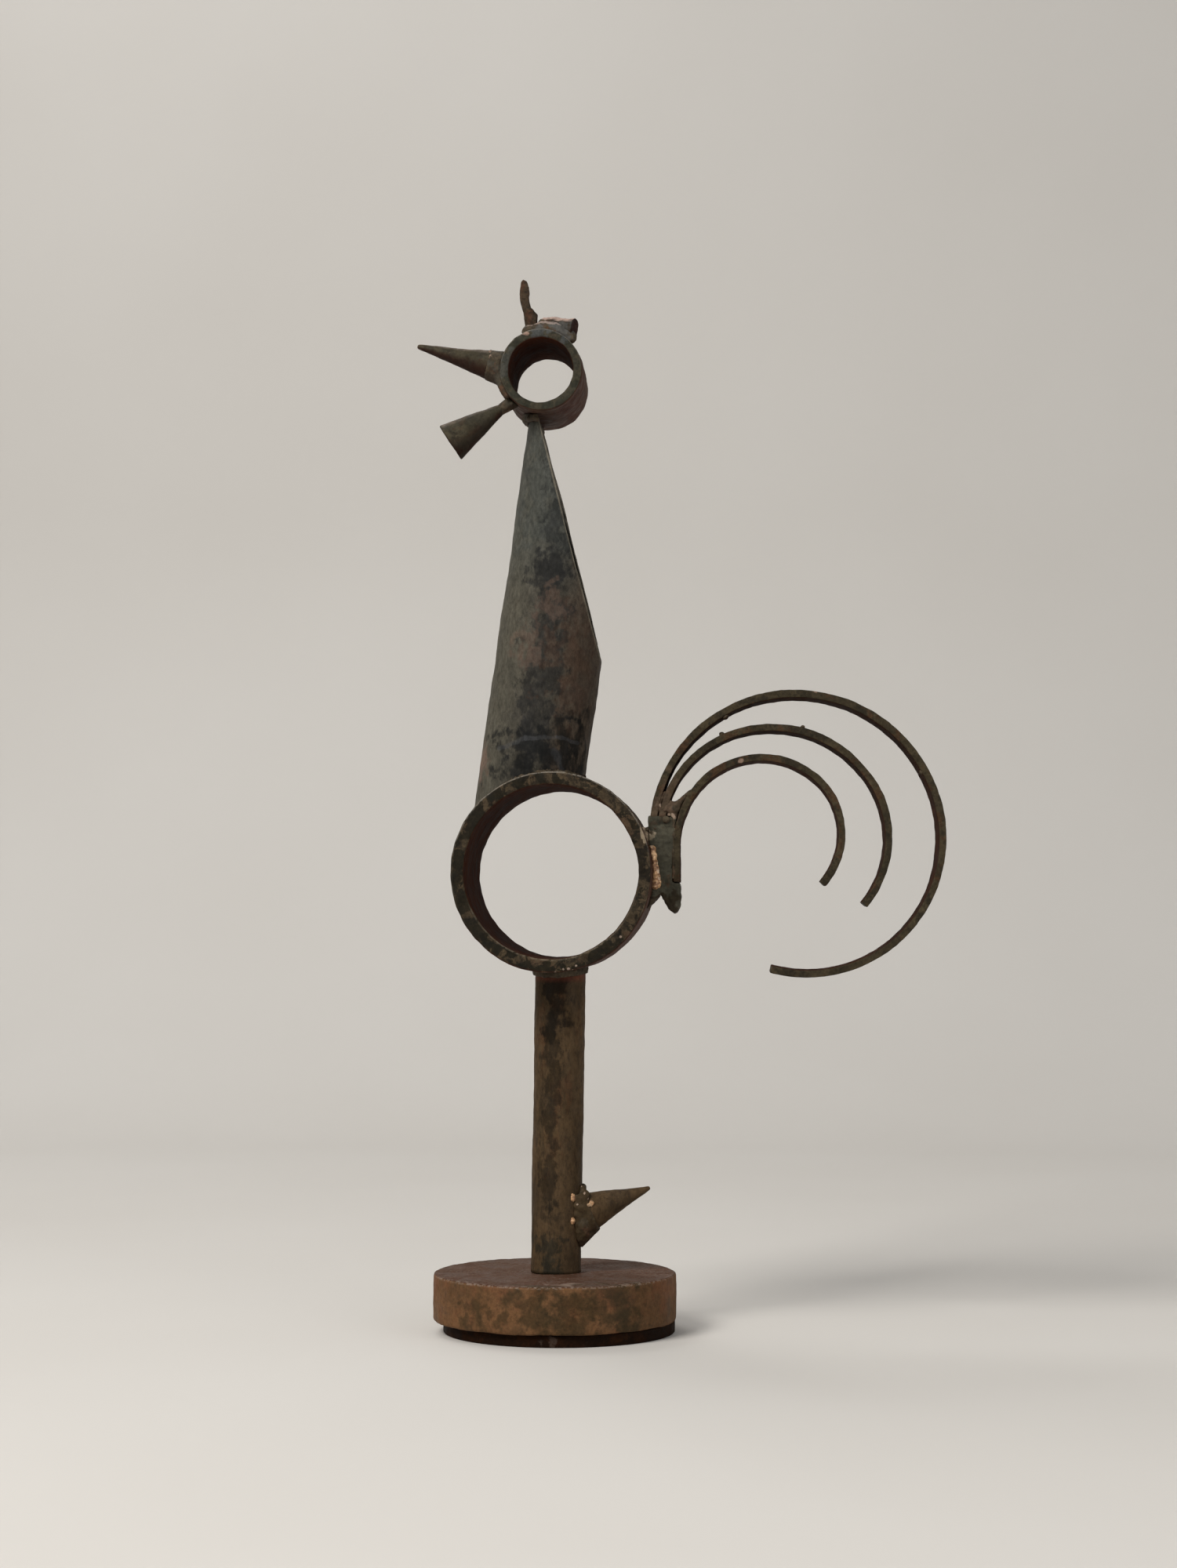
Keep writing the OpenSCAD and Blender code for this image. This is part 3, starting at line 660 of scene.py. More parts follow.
def ring_finish():
    coat = scaled_iron("pipe ring iron")
    face = coat.facing((0, -1, 0), 0.5, 0.8)
    scale = coat.grain(6, 7, 0.6, shift=(6, 6, 2), warp=0.6)
    scale = coat.math("SUBTRACT", scale, coat.both(coat.axis(0), 4))
    coat.paint(coat.both(face, coat.ramp(scale, 0.4, 0.56)), (20, 18, 9), 0.85)
    coat.paint(coat.both(face, coat.heights(412, 454)), (54, 54, 44), 0.6)

    # Painted highlights: pale lines on the outer rims and on the bore's lip, where they face the light
    def edge_highlight(edge, direction, turned_to, low, high, colour, strength):
        edge = coat.both(edge, coat.facing(direction, turned_to, 0.95))
        coat.paint(coat.both(edge, coat.ramp(coat.fine, low, high)), colour, strength)

    rims = [coat.ring(at, r / MM - 0.5, r / MM + 2) for at, r in ((BODY_AT, BODY_R), (HEAD_AT, HEAD_R))]
    rim = coat.math("ADD", *rims, clamp=True)
    edge_highlight(rim, (0, -0.8, 0.6), 0.55, 0.1, 0.7, (142, 134, 122), 0.7)
    bore = BODY_R / MM - BODY_WALL / MM
    edge_highlight(coat.ring(BODY_AT, bore - 0.5, bore + 0.6), (0, -0.7, 0.7), 0.6, 0.2, 0.75, (120, 108, 92), 0.6)
    coat.flecks(
        PALE_WEAR_AND_HIGHLIGHT, 0.8, (31.3, -40, 178.4, 0.7), (2.6, -40, 162.6, 0.6), (6, -40, 164, 0.5),
        (8.5, -40, 164.6, 0.8), (10.4, -40, 163.6, 0.5), (11.9, -40, 165.5, 0.6))
    coat.stroke((152, 136, 114), 0.55, 1.5, (40.2, 228.5, 42.2, 220, 0.8))
    # Painted shade: near-black patches in the hollows between the ring and the braze
    for stretch, spot in (((1.6, 1, 0.7), (40.3, -40, 212, 6)), ((1.5, 1, 0.8), (40.5, -40, 205, 4))):
        coat.smear((24, 20, 13), 0.85, 0.5, stretch, spot)
    coat.daub((74, 76, 76), 0.65, 0.5, (-3, -27, 450, 9))
    coat.daub((74, 74, 70), 0.45, 0.6, (-21, -27, 436, 7))
    # Painted glint: a small pale pink spot at the head's crest
    coat.smear((158, 130, 116), 0.6, 1.2, (0.7, 1, 1), (-11.6, -27, 449.4, 1.1))
    # Painted shade: faces turned right and down darkened to a warm red-brown, with a tinge of reflected red
    # light
    coat.face((70, 34, 20), 0.6, (1, 0.1, -0.3), 0.4, 0.9)
    coat.shade_below((60, 26, 14), 0.55)
    return coat.done(0.35, 0.5)


def neck_finish():
    coat = scaled_iron("pipe neck iron")
    # Painted light: the left side lighter and greyer where light falls, and a brownish painted reflection
    # on the front right
    coat.face((86, 83, 72), 0.55, (-1, -0.35, 0), 0.5, 1.0)
    coat.face((72, 58, 46), 0.6, (0.8, -0.6, 0), 0.7, 0.98)
    coat.smear((58, 59, 55), 0.65, 0.6, (1, 1, 0.5), (-4, -20, 378, 16))
    coat.paint(coat.heights(345, 420, 20), (66, 69, 65), 0.5)
    coat.stroke((28, 29, 29), 0.62, 1, (4, 392, 0, 340, 6))
    coat.stroke((28, 28, 28), 0.66, 1, (0, 345, -8, 262, 9))
    coat.smear((18, 19, 19), 0.8, 0.6, (0.8, 1, 1.3), (-6, -24, 256, 21))
    coat.smear((20, 18, 14), 0.75, 0.9, (1, 1, 0.6), (13, -20, 262, 13))
    coat.daub(
        (94, 77, 66), 0.45, 1.2, (-3, -25, 327, 8), (-13, -23, 311, 9), (-9, -25, 302, 6),
        (3, -24, 331, 4))
    coat.smear((70, 52, 41), 0.45, 1, (1.2, 1, 0.5), (10, -22, 300, 14))
    # Painted sheen: thin, grey-blue highlights round the neck's foot
    coat.stroke(
        (92, 93, 96), 0.18, 1, (-24, 262.5, -12, 266.6, 1.2), (-12, 266.6, 2, 267.6, 1),
        (2, 267.6, 11, 265, 0.9), (0.5, 262, 4.5, 252.5, 1.8))
    coat.smear((132, 102, 88), 0.35, 1, (1, 0.4, 0.5), (-31, -8, 257, 4), (15.8, -14, 259, 1.8))
    corner = NECK_AT + NECK_UP * NECK_SHORT_SIDE + SIDEWAYS.cross(NECK_UP) * NECK_R
    cut = NECK_UP * math.sin(NECK_CUT) + SIDEWAYS.cross(NECK_UP) * math.cos(NECK_CUT)
    # Painted highlight: a pale line along the front edge of the cut
    coat.paint(coat.line(corner / MM, cut, 0.9, corner.z / MM, 412), (128, 120, 104), 0.55)
    coat.face((34, 27, 20), 0.8, cut, 0.97, 0.99)
    return coat.done(0.3, 0.5)


def beak_finish():
    coat = scaled_iron("beak iron")
    # Painted shade on the undersides, in a dark red-brown, and a painted highlight on the tops, which face
    # the light
    coat.face((36, 14, 7), 0.88, (0, 0, -1), -0.25, 0.55)
    coat.face((120, 106, 95), 0.5, (-0.2, -0.2, 1), 0.75, 1)
    coat.daub((132, 112, 100), 0.4, 0.5, (-60.5, -20, 444.5, 2.6))
    coat.daub((44, 42, 33), 0.5, 0.4, (-38, -20, 410, 22))
    # A pale rim on the upper half of the lower beak's open end: wear, and a painted highlight where it
    # faces the light
    coat.daub((130, 122, 108), 0.55, 0.8, (-50, -20, 408, 4.5))
    return coat.done(0.3, 0.4)


def comb_finish():
    coat = scaled_iron("comb iron")
    coat.daub((72, 72, 69), 0.7, 0.5, (2, -25, 450, 9))
    # Painted highlight: pale on the top faces of the comb
    top = coat.both(coat.facing((0, -0.45, 0.9), 0.86, 0.98), coat.heights(450, 470))
    coat.paint(coat.both(top, coat.heights(400, 459)), (172, 148, 136), 0.8)
    # Painted shade: the faces turned right, such as the rod's end, darkened to a red-brown
    coat.face((40, 14, 8), 0.9, (1, 0, 0), 0.6, 0.9)
    coat.shade_below()
    return coat.done(0.4, 0.5)


def bracket_finish():
    coat = scaled_iron("bracket iron")
    coat.daub((44, 34, 20), 0.8, 0.5, (53, -12, 194, 9))
    coat.tail_flecks(
        (164, 150, 130), 0.85, (43.4, 226, 0.9), (44.6, 225.2, 0.7), (43.6, 224.4, 0.5), (46, 224.6, 0.7),
        (53.2, 232.2, 0.9), (54.2, 231.6, 0.9))
    coat.smear((150, 136, 114), 0.65, 0.9, (0.8, 0.2, 1), (43.5, TAIL_FRONT, 225, 3))
    coat.stroke((132, 110, 90), 0.7, 0.9, (45, 234, 55, 232, 1))
    # Painted shadow: a dark band under the weld's ledge
    coat.stroke((40, 38, 28), 0.5, 0.9, (44, 231, 54, 229, 2))
    coat.paint(coat.line((54.9, TAIL_FRONT, 223), (1, 0, 0), 0.5, 219, 229), (130, 118, 100), 0.7)
    coat.shade_below()
    return coat.done(0.4, 0.6)


def feather_finish():
    coat = scaled_iron("flat bar iron")
    coat.tail_flecks((140, 116, 100), 0.75, (105.9, 290, 1.2), (118.2, 289.2, 1.3), (84.3, 257.9, 1.3))
    coat.stroke((88, 72, 58), 0.5, 0.5, (44, 228, 52, 244, 8))
    return coat.done(0.35, 0.5)


def weld_finish():
    coat = scaled_iron("weld metal")
    coat.daub((64, 61, 53), 0.75, 0.4, (-24, -24, 434, 13))
    coat.daub((50, 46, 36), 0.8, 0.3, (-20, -24, 417, 7))
    coat.daub((80, 80, 78), 0.8, 0.3, (2, -25, 451, 11))
    coat.daub((62, 49, 31), 0.85, 0.3, (14, -6, 55, 16))
    coat.stroke((92, 74, 60), 0.6, 0.5, (43, 246, 52, 232, 6))
    # Painted shade: the drops on the feathers darkened
    coat.smear((34, 24, 15), 0.85, 0, (1, 0.3, 1), (79.6, -11, 276, 3.4), (74.6, -11, 271, 3.4))
    coat.smear((72, 64, 50), 0.85, 0, (1, 0.3, 1), (50.8, -11, 230.7, 3.4))
    coat.smear((146, 122, 106), 0.65, 1.3, (1.7, 0.3, 0.8), (-27.8, -25, 440.3, 2.2))
    # Pale spatter; the first spot, at the head's crest, is a painted glint
    coat.flecks(
        PALE_SPATTER_AND_GLINT, 0.8, (-10.8, -26, 450, 0.8), (-13.5, -24, 413, 0.8), (-4.7, -24, 411, 1),
        (12.2, -7, 65.2, 0.5), (13.8, -8, 62.6, 0.6), (16, -8, 60, 0.6), (10.8, -9, 57.6, 0.5))
    coat.tail_flecks(
        PALE_SPATTER_AND_GLINT, 0.8, (40.4, 228.2, 1), (41.2, 226.8, 0.8), (41.3, 223, 0.9), (42.4, 224.8, 1),
        (40.8, 221, 0.6), (48.2, 237.3, 0.9), (51.8, 232.8, 0.8), (53.6, 232.4, 1.2), (54.4, 231.4, 1))
    coat.smear((150, 134, 112), 0.65, 0.9, (1, 0.2, 0.8), (41, TAIL_FRONT, 225, 3.4))
    # Painted highlight: pale on the crest of the comb's weld, where it faces up
    crest = coat.both(coat.facing((0, -0.45, 0.9), 0.86, 0.98), coat.heights(453, 470, 0.6))
    coat.paint(crest, (158, 140, 130), 0.7)
    coat.shade_below(UNDERSIDE_SHADE, 0.5)
    return coat.done(0.35, 0.4)


def braze_finish():
    coat = Finish("golden braze", (200, 156, 112), metallic=0.25, specular=0.5)
    cloud = coat.grain(2.2, 6, 0.65)
    coat.sift((132, 92, 68), 0.8, cloud, 0.42, 0.6)
    soot_and_shade = coat.grain(1.2, 5, 0.7, shift=(2, 5, 1))
    coat.mid = cloud
    coat.fine = soot_and_shade
    coat.sift((70, 46, 32), 0.7, soot_and_shade, 0.6, 0.9)
    coat.sift((236, 200, 160), 0.7, soot_and_shade, 0.35, 0.1)
    # Painted highlights on the crests of the tail braze's drops
    coat.smear((236, 196, 152), 0.7, 0, (1, 0.2, 1), (46.2, -13, 214.6, 2))
    coat.smear(
        (232, 204, 176), 0.7, 0, (1, 0.2, 1), (44.6, -13, 218.4, 0.8), (47.4, -13, 211.2, 0.8),
        (48, -13, 207.8, 1), (47.8, -13, 204.6, 0.9))
    # Painted highlight: a beige-grey spot on a drop by the spur
    coat.smear((124, 108, 88), 0.65, 0, (1, 0.3, 1), (15.2, -9, 57, 4))
    coat.roughness = coat.ramp(cloud, 0.35, 0.7, 0.3, 0.5)
    coat.height = soot_and_shade
    return coat.done(0.3, 0.3)


FINISH = {
    "base_iron": base_finish(), "pad_iron": pad_finish(), "screw_steel": screw_finish(),
    "stem_iron": stem_finish(), "ring_iron": ring_finish(), "neck_iron": neck_finish(),
    "beak_iron": beak_finish(), "comb_iron": comb_finish(), "bracket_iron": bracket_finish(),
    "feather_iron": feather_finish(), "weld_iron": weld_finish(), "braze": braze_finish()}

# Painted shade for the bores and for the undersides of the tail's curls
BORE_SHADE = shade_iron("bore painted shade", (58, 28, 14), (36, 15, 7))
TAIL_UNDERSIDE_SHADE = shade_iron("tail underside painted shade", (52, 29, 17), (32, 17, 9))


def finish_of(node):
    return FINISH[SLOTS[node]]


# Base

def make_base_disc():
    low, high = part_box("base_disc")
    profile = drum_profile(extent("base_disc").x / 2 - SKIN, low.z, high.z, 1.2 * MM, 2.2 * MM)
    bm = turned(profile, Matrix.Identity(4), 160)
    finish_piece(bm, "base_disc", 1, (0.35, 16), (0.16, 3))


def make_base_pad():
    low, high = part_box("base_pad")
    profile = drum_profile(extent("base_pad").x / 2, low.z, high.z, 0.7 * MM, 2.5 * MM)
    bm = turned(profile, Matrix.Translation((middle("base_pad").x, 0, 0)), 128)
    finish_piece(bm, "base_pad")


# Stem and spur

def ring_surface(point, across, centre, radius, downwards):
    """How far along a direction a point reaches the round of a ring, in the picture's plane."""
    offset = Vector((point.x - centre.x, 0, point.z - centre.z))
    reach = offset.dot(across)
    inside = reach * reach - offset.length_squared + radius * radius
    if inside < 0:
        return None
    root = math.sqrt(inside)
    return -reach - root if downwards else -reach + root


def pipe_wall(foot, direction, radius, start, end, around, along):
    """An open skin round an axis, between a start and an end that change round it."""
    bm = bmesh.new()
    bmesh.ops.create_grid(bm, x_segments=around, y_segments=along, size=0.5)
    for vert in bm.verts:
        angle = 2 * math.pi * (vert.co.x + 0.5)
        share = vert.co.y + 0.5
        point = foot + round_axis(direction, angle) * radius
        low = start(point, radius * math.cos(angle))
        high = end(point, radius * math.cos(angle))
        vert.co = point + direction * (low + (high - low) * share)
    bmesh.ops.remove_doubles(bm, verts=bm.verts, dist=MERGE_GAP)
    return bm


def close_rims(bm):
    """Caps whatever holes are left open."""
    open_edges = [edge for edge in bm.edges if edge.is_boundary]
    bmesh.ops.holes_fill(bm, edges=open_edges, sides=0)
    bmesh.ops.recalc_face_normals(bm, faces=bm.faces)


STEM_UP = Vector((math.sin(STEM_LEAN), 0, math.cos(STEM_LEAN)))


def stem_top(point, _):
    return ring_surface(point, STEM_UP, BODY_AT, BODY_R, True)


def make_stem_bar():
    bm = pipe_wall(STEM_FOOT, STEM_UP, STEM_R, lambda point, _: 0, stem_top, 96, 90)
    close_rims(bm)
    finish_piece(bm, "stem_bar", 3, (0.3, 26), (0.18, 4))


def weld_piece(node, seed, voxel, ripple, smoothing, *spots, squash=(1, 1, 1), drops=None):
    """A weld: the CAD's form with drops of metal laid on it, run together to one lumpy skin.

    The voxel, the ripple and the spots are in millimetres.
    """
    bm = node_mesh(node)
    lumps(bm, spots, squash)
    if drops:
        drops(bm)
    bm = remeshed(bm, voxel * MM, smoothing)
    finish_piece(bm, node, seed, (ripple, 2.2), (ripple * 0.4, 0.9), kind="metal")


def make_stem_top_weld():
    def drops(bm):
        path = []
        for i in range(40):
            point = STEM_FOOT + round_axis(STEM_UP, 2 * math.pi * i / 40) * (STEM_R + 0.1 * MM)
            path.append(point + STEM_UP * (stem_top(point, 0) - 1.1 * MM))
        bead(bm, path, 0.95 * MM, 3)
    weld_piece("stem_top_weld", 5, 0.4, 0.35, 2, drops=drops)


def spur_place():
    lean = Matrix.Rotation(STEM_LEAN, 4, "Y")
    return (
        Matrix.Translation(STEM_FOOT) @ lean
        @ Matrix.Translation((STEM_R + SPUR_GAP, 0, SPUR_RISE)) @ turn_up(SPUR_TILT))


def cone_profile(root_r, tip_r, length, edge=0.4 * MM):
    """A cone from a flat root to a rounded tip."""
    return dense_profile(
        [(0, 0), (root_r - edge, 0), (root_r, edge), (tip_r, length - tip_r * 0.6),
         (tip_r * 0.75, length - tip_r * 0.15), (tip_r * 0.4, length), (0, length)], 1.2 * MM)


def make_spur_cone():
    bm = turned(cone_profile(SPUR_R, CONE_TIP_R, SPUR_LENGTH), spur_place(), 72)
    finish_piece(bm, "spur_cone", 6, (0.45, 9), (0.2, 2.5))


def make_spur_weld():
    weld_piece(
        "spur_weld", 8, 0.45, 0.18, 26,
        (12.6, -4, 64.6, 1.8), (14.4, -5.5, 61.8, 2.2), (12.6, -7, 60, 2.6), (13, -7, 56, 2.8),
        (12.4, -6.4, 51.5, 2.4), (11.6, -5.6, 46.5, 1.9), (11.2, -5, 42, 1.4), (12.6, 4, 64.6, 1.8),
        (13.4, 5, 58, 2.8), (12.4, 5.5, 52, 2.4), (13, 0, 64.8, 1.8), (15.4, -7.4, 58, 1.4),
        (10.4, -7.2, 60.5, 1.9), (10.2, -7.3, 57, 2.1), (10.1, -7.2, 53, 2), (10.2, -6.8, 49, 1.8),
        (10.6, -6, 45, 1.6), (11.2, -3, 39, 1.2), (11.6, 0, 42, 1.6))


def make_spur_braze():
    weld_piece(
        "spur_braze", 10, 0.3, 0.4, 3,
        (8.3, -8.6, 61.8, 0.7), (8.6, -8.9, 60, 0.7), (7.7, -8.8, 52.2, 0.5), (8.3, -8.8, 49.2, 0.5),
        (15.2, -8.2, 56.4, 0.5), squash=(1, 0.8, 1.15))


# Body ring, neck and head ring

def make_ring(node, at, radius, wall, half, edge, steps, gap, seed, *waves):
    """A short length of pipe along Y with rounded rims and a bore painted in shade."""
    inner = radius - wall
    corners = (
        rounded_corner(radius - edge, half - edge, edge, 0)
        + rounded_corner(inner + edge, half - edge, edge, math.pi / 2)
        + rounded_corner(inner + edge, -half + edge, edge, math.pi)
        + rounded_corner(radius - edge, -half + edge, edge, math.pi * 1.5))
    corners.append(corners[0])
    place = Matrix.Translation(at) @ Matrix.Rotation(math.pi / 2, 4, "X")
    bm = turned(dense_profile(corners, gap)[:-1], place, steps, axis_closed=False)
    bore = []
    for face in bm.faces:
        offset = face.calc_center_median() - at
        if math.hypot(offset.x, offset.z) < inner + BORE_MARGIN:
            bore.append(face)
    finish_piece(bm, node, seed, *waves, soot_and_shade=BORE_SHADE, shaded_faces=bore)


def make_body_ring():
    make_ring(
        "body_ring", BODY_AT, BODY_R, BODY_WALL, BODY_HALF, 0.8 * MM, 200, 1.6 * MM,
        11, (0.6, 24), (0.28, 4))


def make_head_ring():
    make_ring(
        "head_ring", HEAD_AT, HEAD_R, HEAD_WALL, HEAD_HALF, 0.7 * MM, 120, 1.3 * MM,
        16, (0.5, 14), (0.25, 3))


def neck_foot(point, _):
    return ring_surface(point, NECK_UP, BODY_AT, BODY_R, False)


def neck_top(point, across):
    cut = NECK_SHORT_SIDE + (NECK_R - across) / math.tan(NECK_CUT)
    head = ring_surface(point, NECK_UP, HEAD_AT, HEAD_R, True)
    return cut if head is None else min(cut, head)


def make_neck_tube():
    bm = pipe_wall(NECK_AT, NECK_UP, NECK_R, neck_foot, neck_top, 140, 110)
    inner = pipe_wall(NECK_AT, NECK_UP, NECK_R - NECK_WALL, neck_foot, neck_top, 140, 110)
    mesh = meshed("bore", inner)
    bm.from_mesh(mesh)
    bpy.data.meshes.remove(mesh)
    rims = [edge for edge in bm.edges if edge.is_boundary]
    low = [e for e in rims if (e.verts[0].co - BODY_AT).length < BODY_R + 12 * MM]
    high = [e for e in rims if (e.verts[0].co - BODY_AT).length >= BODY_R + 12 * MM]
    for rim in (low, high):
        bmesh.ops.bridge_loops(bm, edges=rim)
    bmesh.ops.recalc_face_normals(bm, faces=bm.faces)
    round_edges(bm, [edge for edge in high if edge.is_valid], 0.45 * MM)
    finish_piece(bm, "neck_tube", 13, (0.6, 26), (0.22, 5))


def make_neck_foot_weld():
    def drops(bm):
        path = []
        for i in range(84):
            angle = 2 * math.pi * i / 84
            point = NECK_AT + round_axis(NECK_UP, angle) * (NECK_R + 0.5 * MM)
            if math.cos(angle) < 0.85:
                path.append(point + NECK_UP * (neck_foot(point, 0) + 0.5 * MM))
        for vert in bm.verts:
            offset = vert.co - NECK_AT
            away = offset - NECK_UP * offset.dot(NECK_UP)
            if away.length > NECK_R + 0.3 * MM:
                vert.co -= away * (1 - (NECK_R + 0.3 * MM) / away.length)
        bead(bm, path, 0.9 * MM, 5)
    weld_piece("neck_foot_weld", 15, 0.5, 0.25, 10, drops=drops)


def make_neck_tip_weld():
    weld_piece(
        "neck_tip_weld", 18, 0.4, 0.3, 6,
        (-12.4, -9, 413.4, 1.3), (-11, -14, 413.4, 1.3), (-12.4, 8, 413.4, 1.3))


# Beaks and comb

def on_head(angle, gap):
    """A place round the head ring at an angle above straight ahead, off its surface."""
    reach = HEAD_R + gap
    return Vector((HEAD_AT.x - reach * math.cos(angle), FACE_Y, HEAD_AT.z + reach * math.sin(angle)))


# The way that each beak points
UPPER_WAY = turn_up(math.pi - UPPER_TILT)
LOWER_WAY = turn_up(math.pi + LOWER_TILT)


def slim_down(bm, place, turn, share):
    """Draws a form in towards an axis, so that it runs smoothly into the piece on that axis."""
    axis = turn.to_3x3() @ Vector((0, 0, 1))
    for vert in bm.verts:
        offset = vert.co - place
        away = offset - axis * offset.dot(axis)
        vert.co -= away * (1 - share)


def make_upper_beak():
    place = Matrix.Translation(on_head(UPPER_PLACE, UPPER_GAP)) @ UPPER_WAY
    bm = turned(cone_profile(UPPER_R, CONE_TIP_R, UPPER_LENGTH - SKIN), place, 64)
    finish_piece(bm, "upper_beak", 20, (0.4, 9), (0.15, 2.5))


def make_upper_beak_weld():
    def drops(bm):
        slim_down(bm, on_head(UPPER_PLACE, UPPER_GAP), UPPER_WAY, 0.97)
        for i in range(14):
            for y in (-24.7, -21.5, -18.4):
                place = on_head(math.radians(16 - 4 * i), 0.4 * MM)
                lump(bm, Vector((place.x, y * MM, place.z)), (2.5 - 0.06 * i) * MM)
    weld_piece(
        "upper_beak_weld", 22, 0.35, 0.18, 18,
        (-28.2, -23.6, 441.5, 1.2), (-28, -25, 438.4, 1), (-28.4, -24.8, 435.2, 0.9),
        (-28, -20, 442.6, 1.2), (-28.2, -16, 440.4, 1.2), (-28.4, -15.2, 436, 1.1), drops=drops)


def make_lower_beak():
    place = Matrix.Translation(on_head(-LOWER_PLACE, LOWER_GAP)) @ LOWER_WAY
    profile = dense_profile(
        [(0, 0), (LOWER_ROOT_R, 0), (LOWER_END_R, LOWER_LENGTH - 0.5 * MM),
         (LOWER_END_R - 0.3 * MM, LOWER_LENGTH), (0, LOWER_LENGTH)], 1.2 * MM)
    bm = turned(profile, place, 64)
    finish_piece(bm, "lower_beak", 24, (0.4, 9), (0.15, 2.5))


def make_lower_beak_weld():
    def drops(bm):
        slim_down(bm, on_head(-LOWER_PLACE, LOWER_GAP), LOWER_WAY, 0.92)
        lumps(bm, [(-21.4, -21.5, 423.6, 1.1), (-18.2, -23, 418, 1.2)])
    weld_piece("lower_beak_weld", 26, 0.35, 0.2, 12, drops=drops)


def make_comb_spike():
    bm = remeshed(node_mesh("comb_spike"), 0.3 * MM, 3)
    finish_piece(bm, "comb_spike", 28, (0.45, 5), (0.2, 1.8))


def make_comb_rod():
    half = ROD_LENGTH / 2
    profile = drum_profile(ROD_R, -half, half, 0.5 * MM, 0.9 * MM)
    centre = Vector((HEAD_AT.x + half, FACE_Y, HEAD_AT.z + HEAD_R + 0.3 * ROD_R))
    place = Matrix.Translation(centre) @ Matrix.Rotation(-ROD_TURN, 4, "Z") @ turn_up(-ROD_FALL)
    bm = turned(profile, place, 56)
    finish_piece(bm, "comb_rod", 30, (0.5, 5), (0.25, 1.6))


def make_comb_weld():
    weld_piece(
        "comb_weld", 32, 0.35, 0.3, 10,
        (-11.4, -23.6, 449.4, 2), (-9, -23.4, 450.6, 2.8), (-6.6, -23, 451.2, 3.4),
        (-4.4, -22.6, 451.4, 3.9), (-2.2, -22.6, 451.5, 4), (0, -22.6, 451.3, 4), (2.2, -22.6, 451, 4),
        (4.4, -22.7, 450.2, 3.8), (6.4, -22.9, 449.2, 3.5), (8.2, -23.2, 447.8, 3),
        (-4.4, -21, 454.6, 2.4), (-6, -17.4, 453.5, 2.4), (-1, -17, 453, 2.2), (4, -17, 452, 2))


# Tail

def inside_of(heading):
    """The side towards which a bar with this heading curls."""
    return Vector((math.sin(heading), 0, -math.cos(heading)))


def bent_bar(feather):
    """A flat bar that curls: its section swept along its straight stretch and its arcs."""
    heading = math.radians(feather["heading"])
    ahead = Vector((math.cos(heading), 0, math.sin(heading)))
    bm = bmesh.new()
    bmesh.ops.create_grid(bm, x_segments=3, y_segments=16, size=0.5)
    for vert in bm.verts:
        vert.co = (
            feather["root"] + inside_of(heading) * BAR_T * (vert.co.x + 0.5)
            + SIDEWAYS * 2 * TAIL_HALF * vert.co.y)
    section = bm.faces[:]
    steps = max(1, round(feather["lead"] / (1.5 * MM)))
    for _ in range(steps):
        grown = bmesh.ops.extrude_face_region(bm, geom=section)["geom"]
        section = only(bmesh.types.BMFace, grown)
        moved = only(bmesh.types.BMVert, grown)
        bmesh.ops.translate(bm, vec=ahead * feather["lead"] / steps, verts=moved)
    edge = feather["root"] + ahead * feather["lead"]
    for radius, turn in feather["arcs"]:
        centre = edge + inside_of(heading) * radius
        angle = math.radians(turn)
        spun = bmesh.ops.spin(
            bm, geom=section, cent=centre, axis=(0, 1, 0), dvec=(0, 0, 0), angle=angle,
            steps=round(turn / 1.5), use_merge=False, use_duplicate=False)
        section = only(bmesh.types.BMFace, spun["geom_last"])
        heading -= angle
        edge = centre - inside_of(heading) * radius
    bmesh.ops.remove_doubles(bm, verts=bm.verts, dist=BAR_GAP)
    bmesh.ops.recalc_face_normals(bm, faces=bm.faces)
    return bm


def make_feather(node, seed):
    bm = bent_bar(FEATHERS[node])
    corners = [
        e for e in bm.edges
        if len(e.link_faces) == 2 and e.calc_face_angle(0) > math.radians(60)]
    round_edges(bm, corners, 0.35 * MM)
    bm.normal_update()
    # The faces turned in towards the curls get painted shade
    under = []
    for face in bm.faces:
        inward = TAIL_MIDDLE - face.calc_center_median()
        inward.y = 0
        if face.normal.dot(inward.normalized()) > 0.45:
            under.append(face)
    finish_piece(bm, node, seed, (0.3, 24), (0.22, 3), kind="bar", soot_and_shade=TAIL_UNDERSIDE_SHADE, shaded_faces=under)


def make_tail_bracket():
    bm = remeshed(node_mesh("tail_bracket"), 0.45 * MM, 2)
    finish_piece(bm, "tail_bracket", 40, (0.8, 8), (0.4, 2.2))


def make_bracket_weld():
    weld_piece(
        "bracket_weld", 42, 0.45, 0.35, 6,
        (40.5, -11.2, 225.4, 1.3), (41.6, -11.4, 222.4, 1.3), (38.6, -11, 226.4, 1.2),
        (43, -11.3, 226.6, 1.2), (42.6, -11.4, 219.6, 1.2), (41, -11.6, 202, 1.6),
        (43.5, -11.4, 198.9, 1.6), (41, -11.2, 195, 1.5))


def make_feather_root_weld():
    weld_piece(
        "feather_root_weld", 44, 0.45, 0.5, 10,
        *[(x, -11.4, z, size) for x, z, size in (
            (46.4, 236, 1.6), (47.2, 238.5, 1.5), (47.9, 241, 1.2), (48.6, 243, 0.9), (50.8, 235, 1.7),
            (51.6, 237, 1.4), (52.4, 238.6, 1.1), (54, 234.5, 1.8), (55.2, 236.5, 1.5), (54.6, 232, 1.4),
            (56.6, 238, 1.5), (58.2, 239.8, 1.4), (59.9, 241.6, 1.3), (61.5, 243.2, 1.2),
            (63.1, 244.8, 1), (64.6, 246.2, 0.8))],
        *[(54.1, -11.9, 232 - 0.95 * i, 0.95) for i in range(30)])


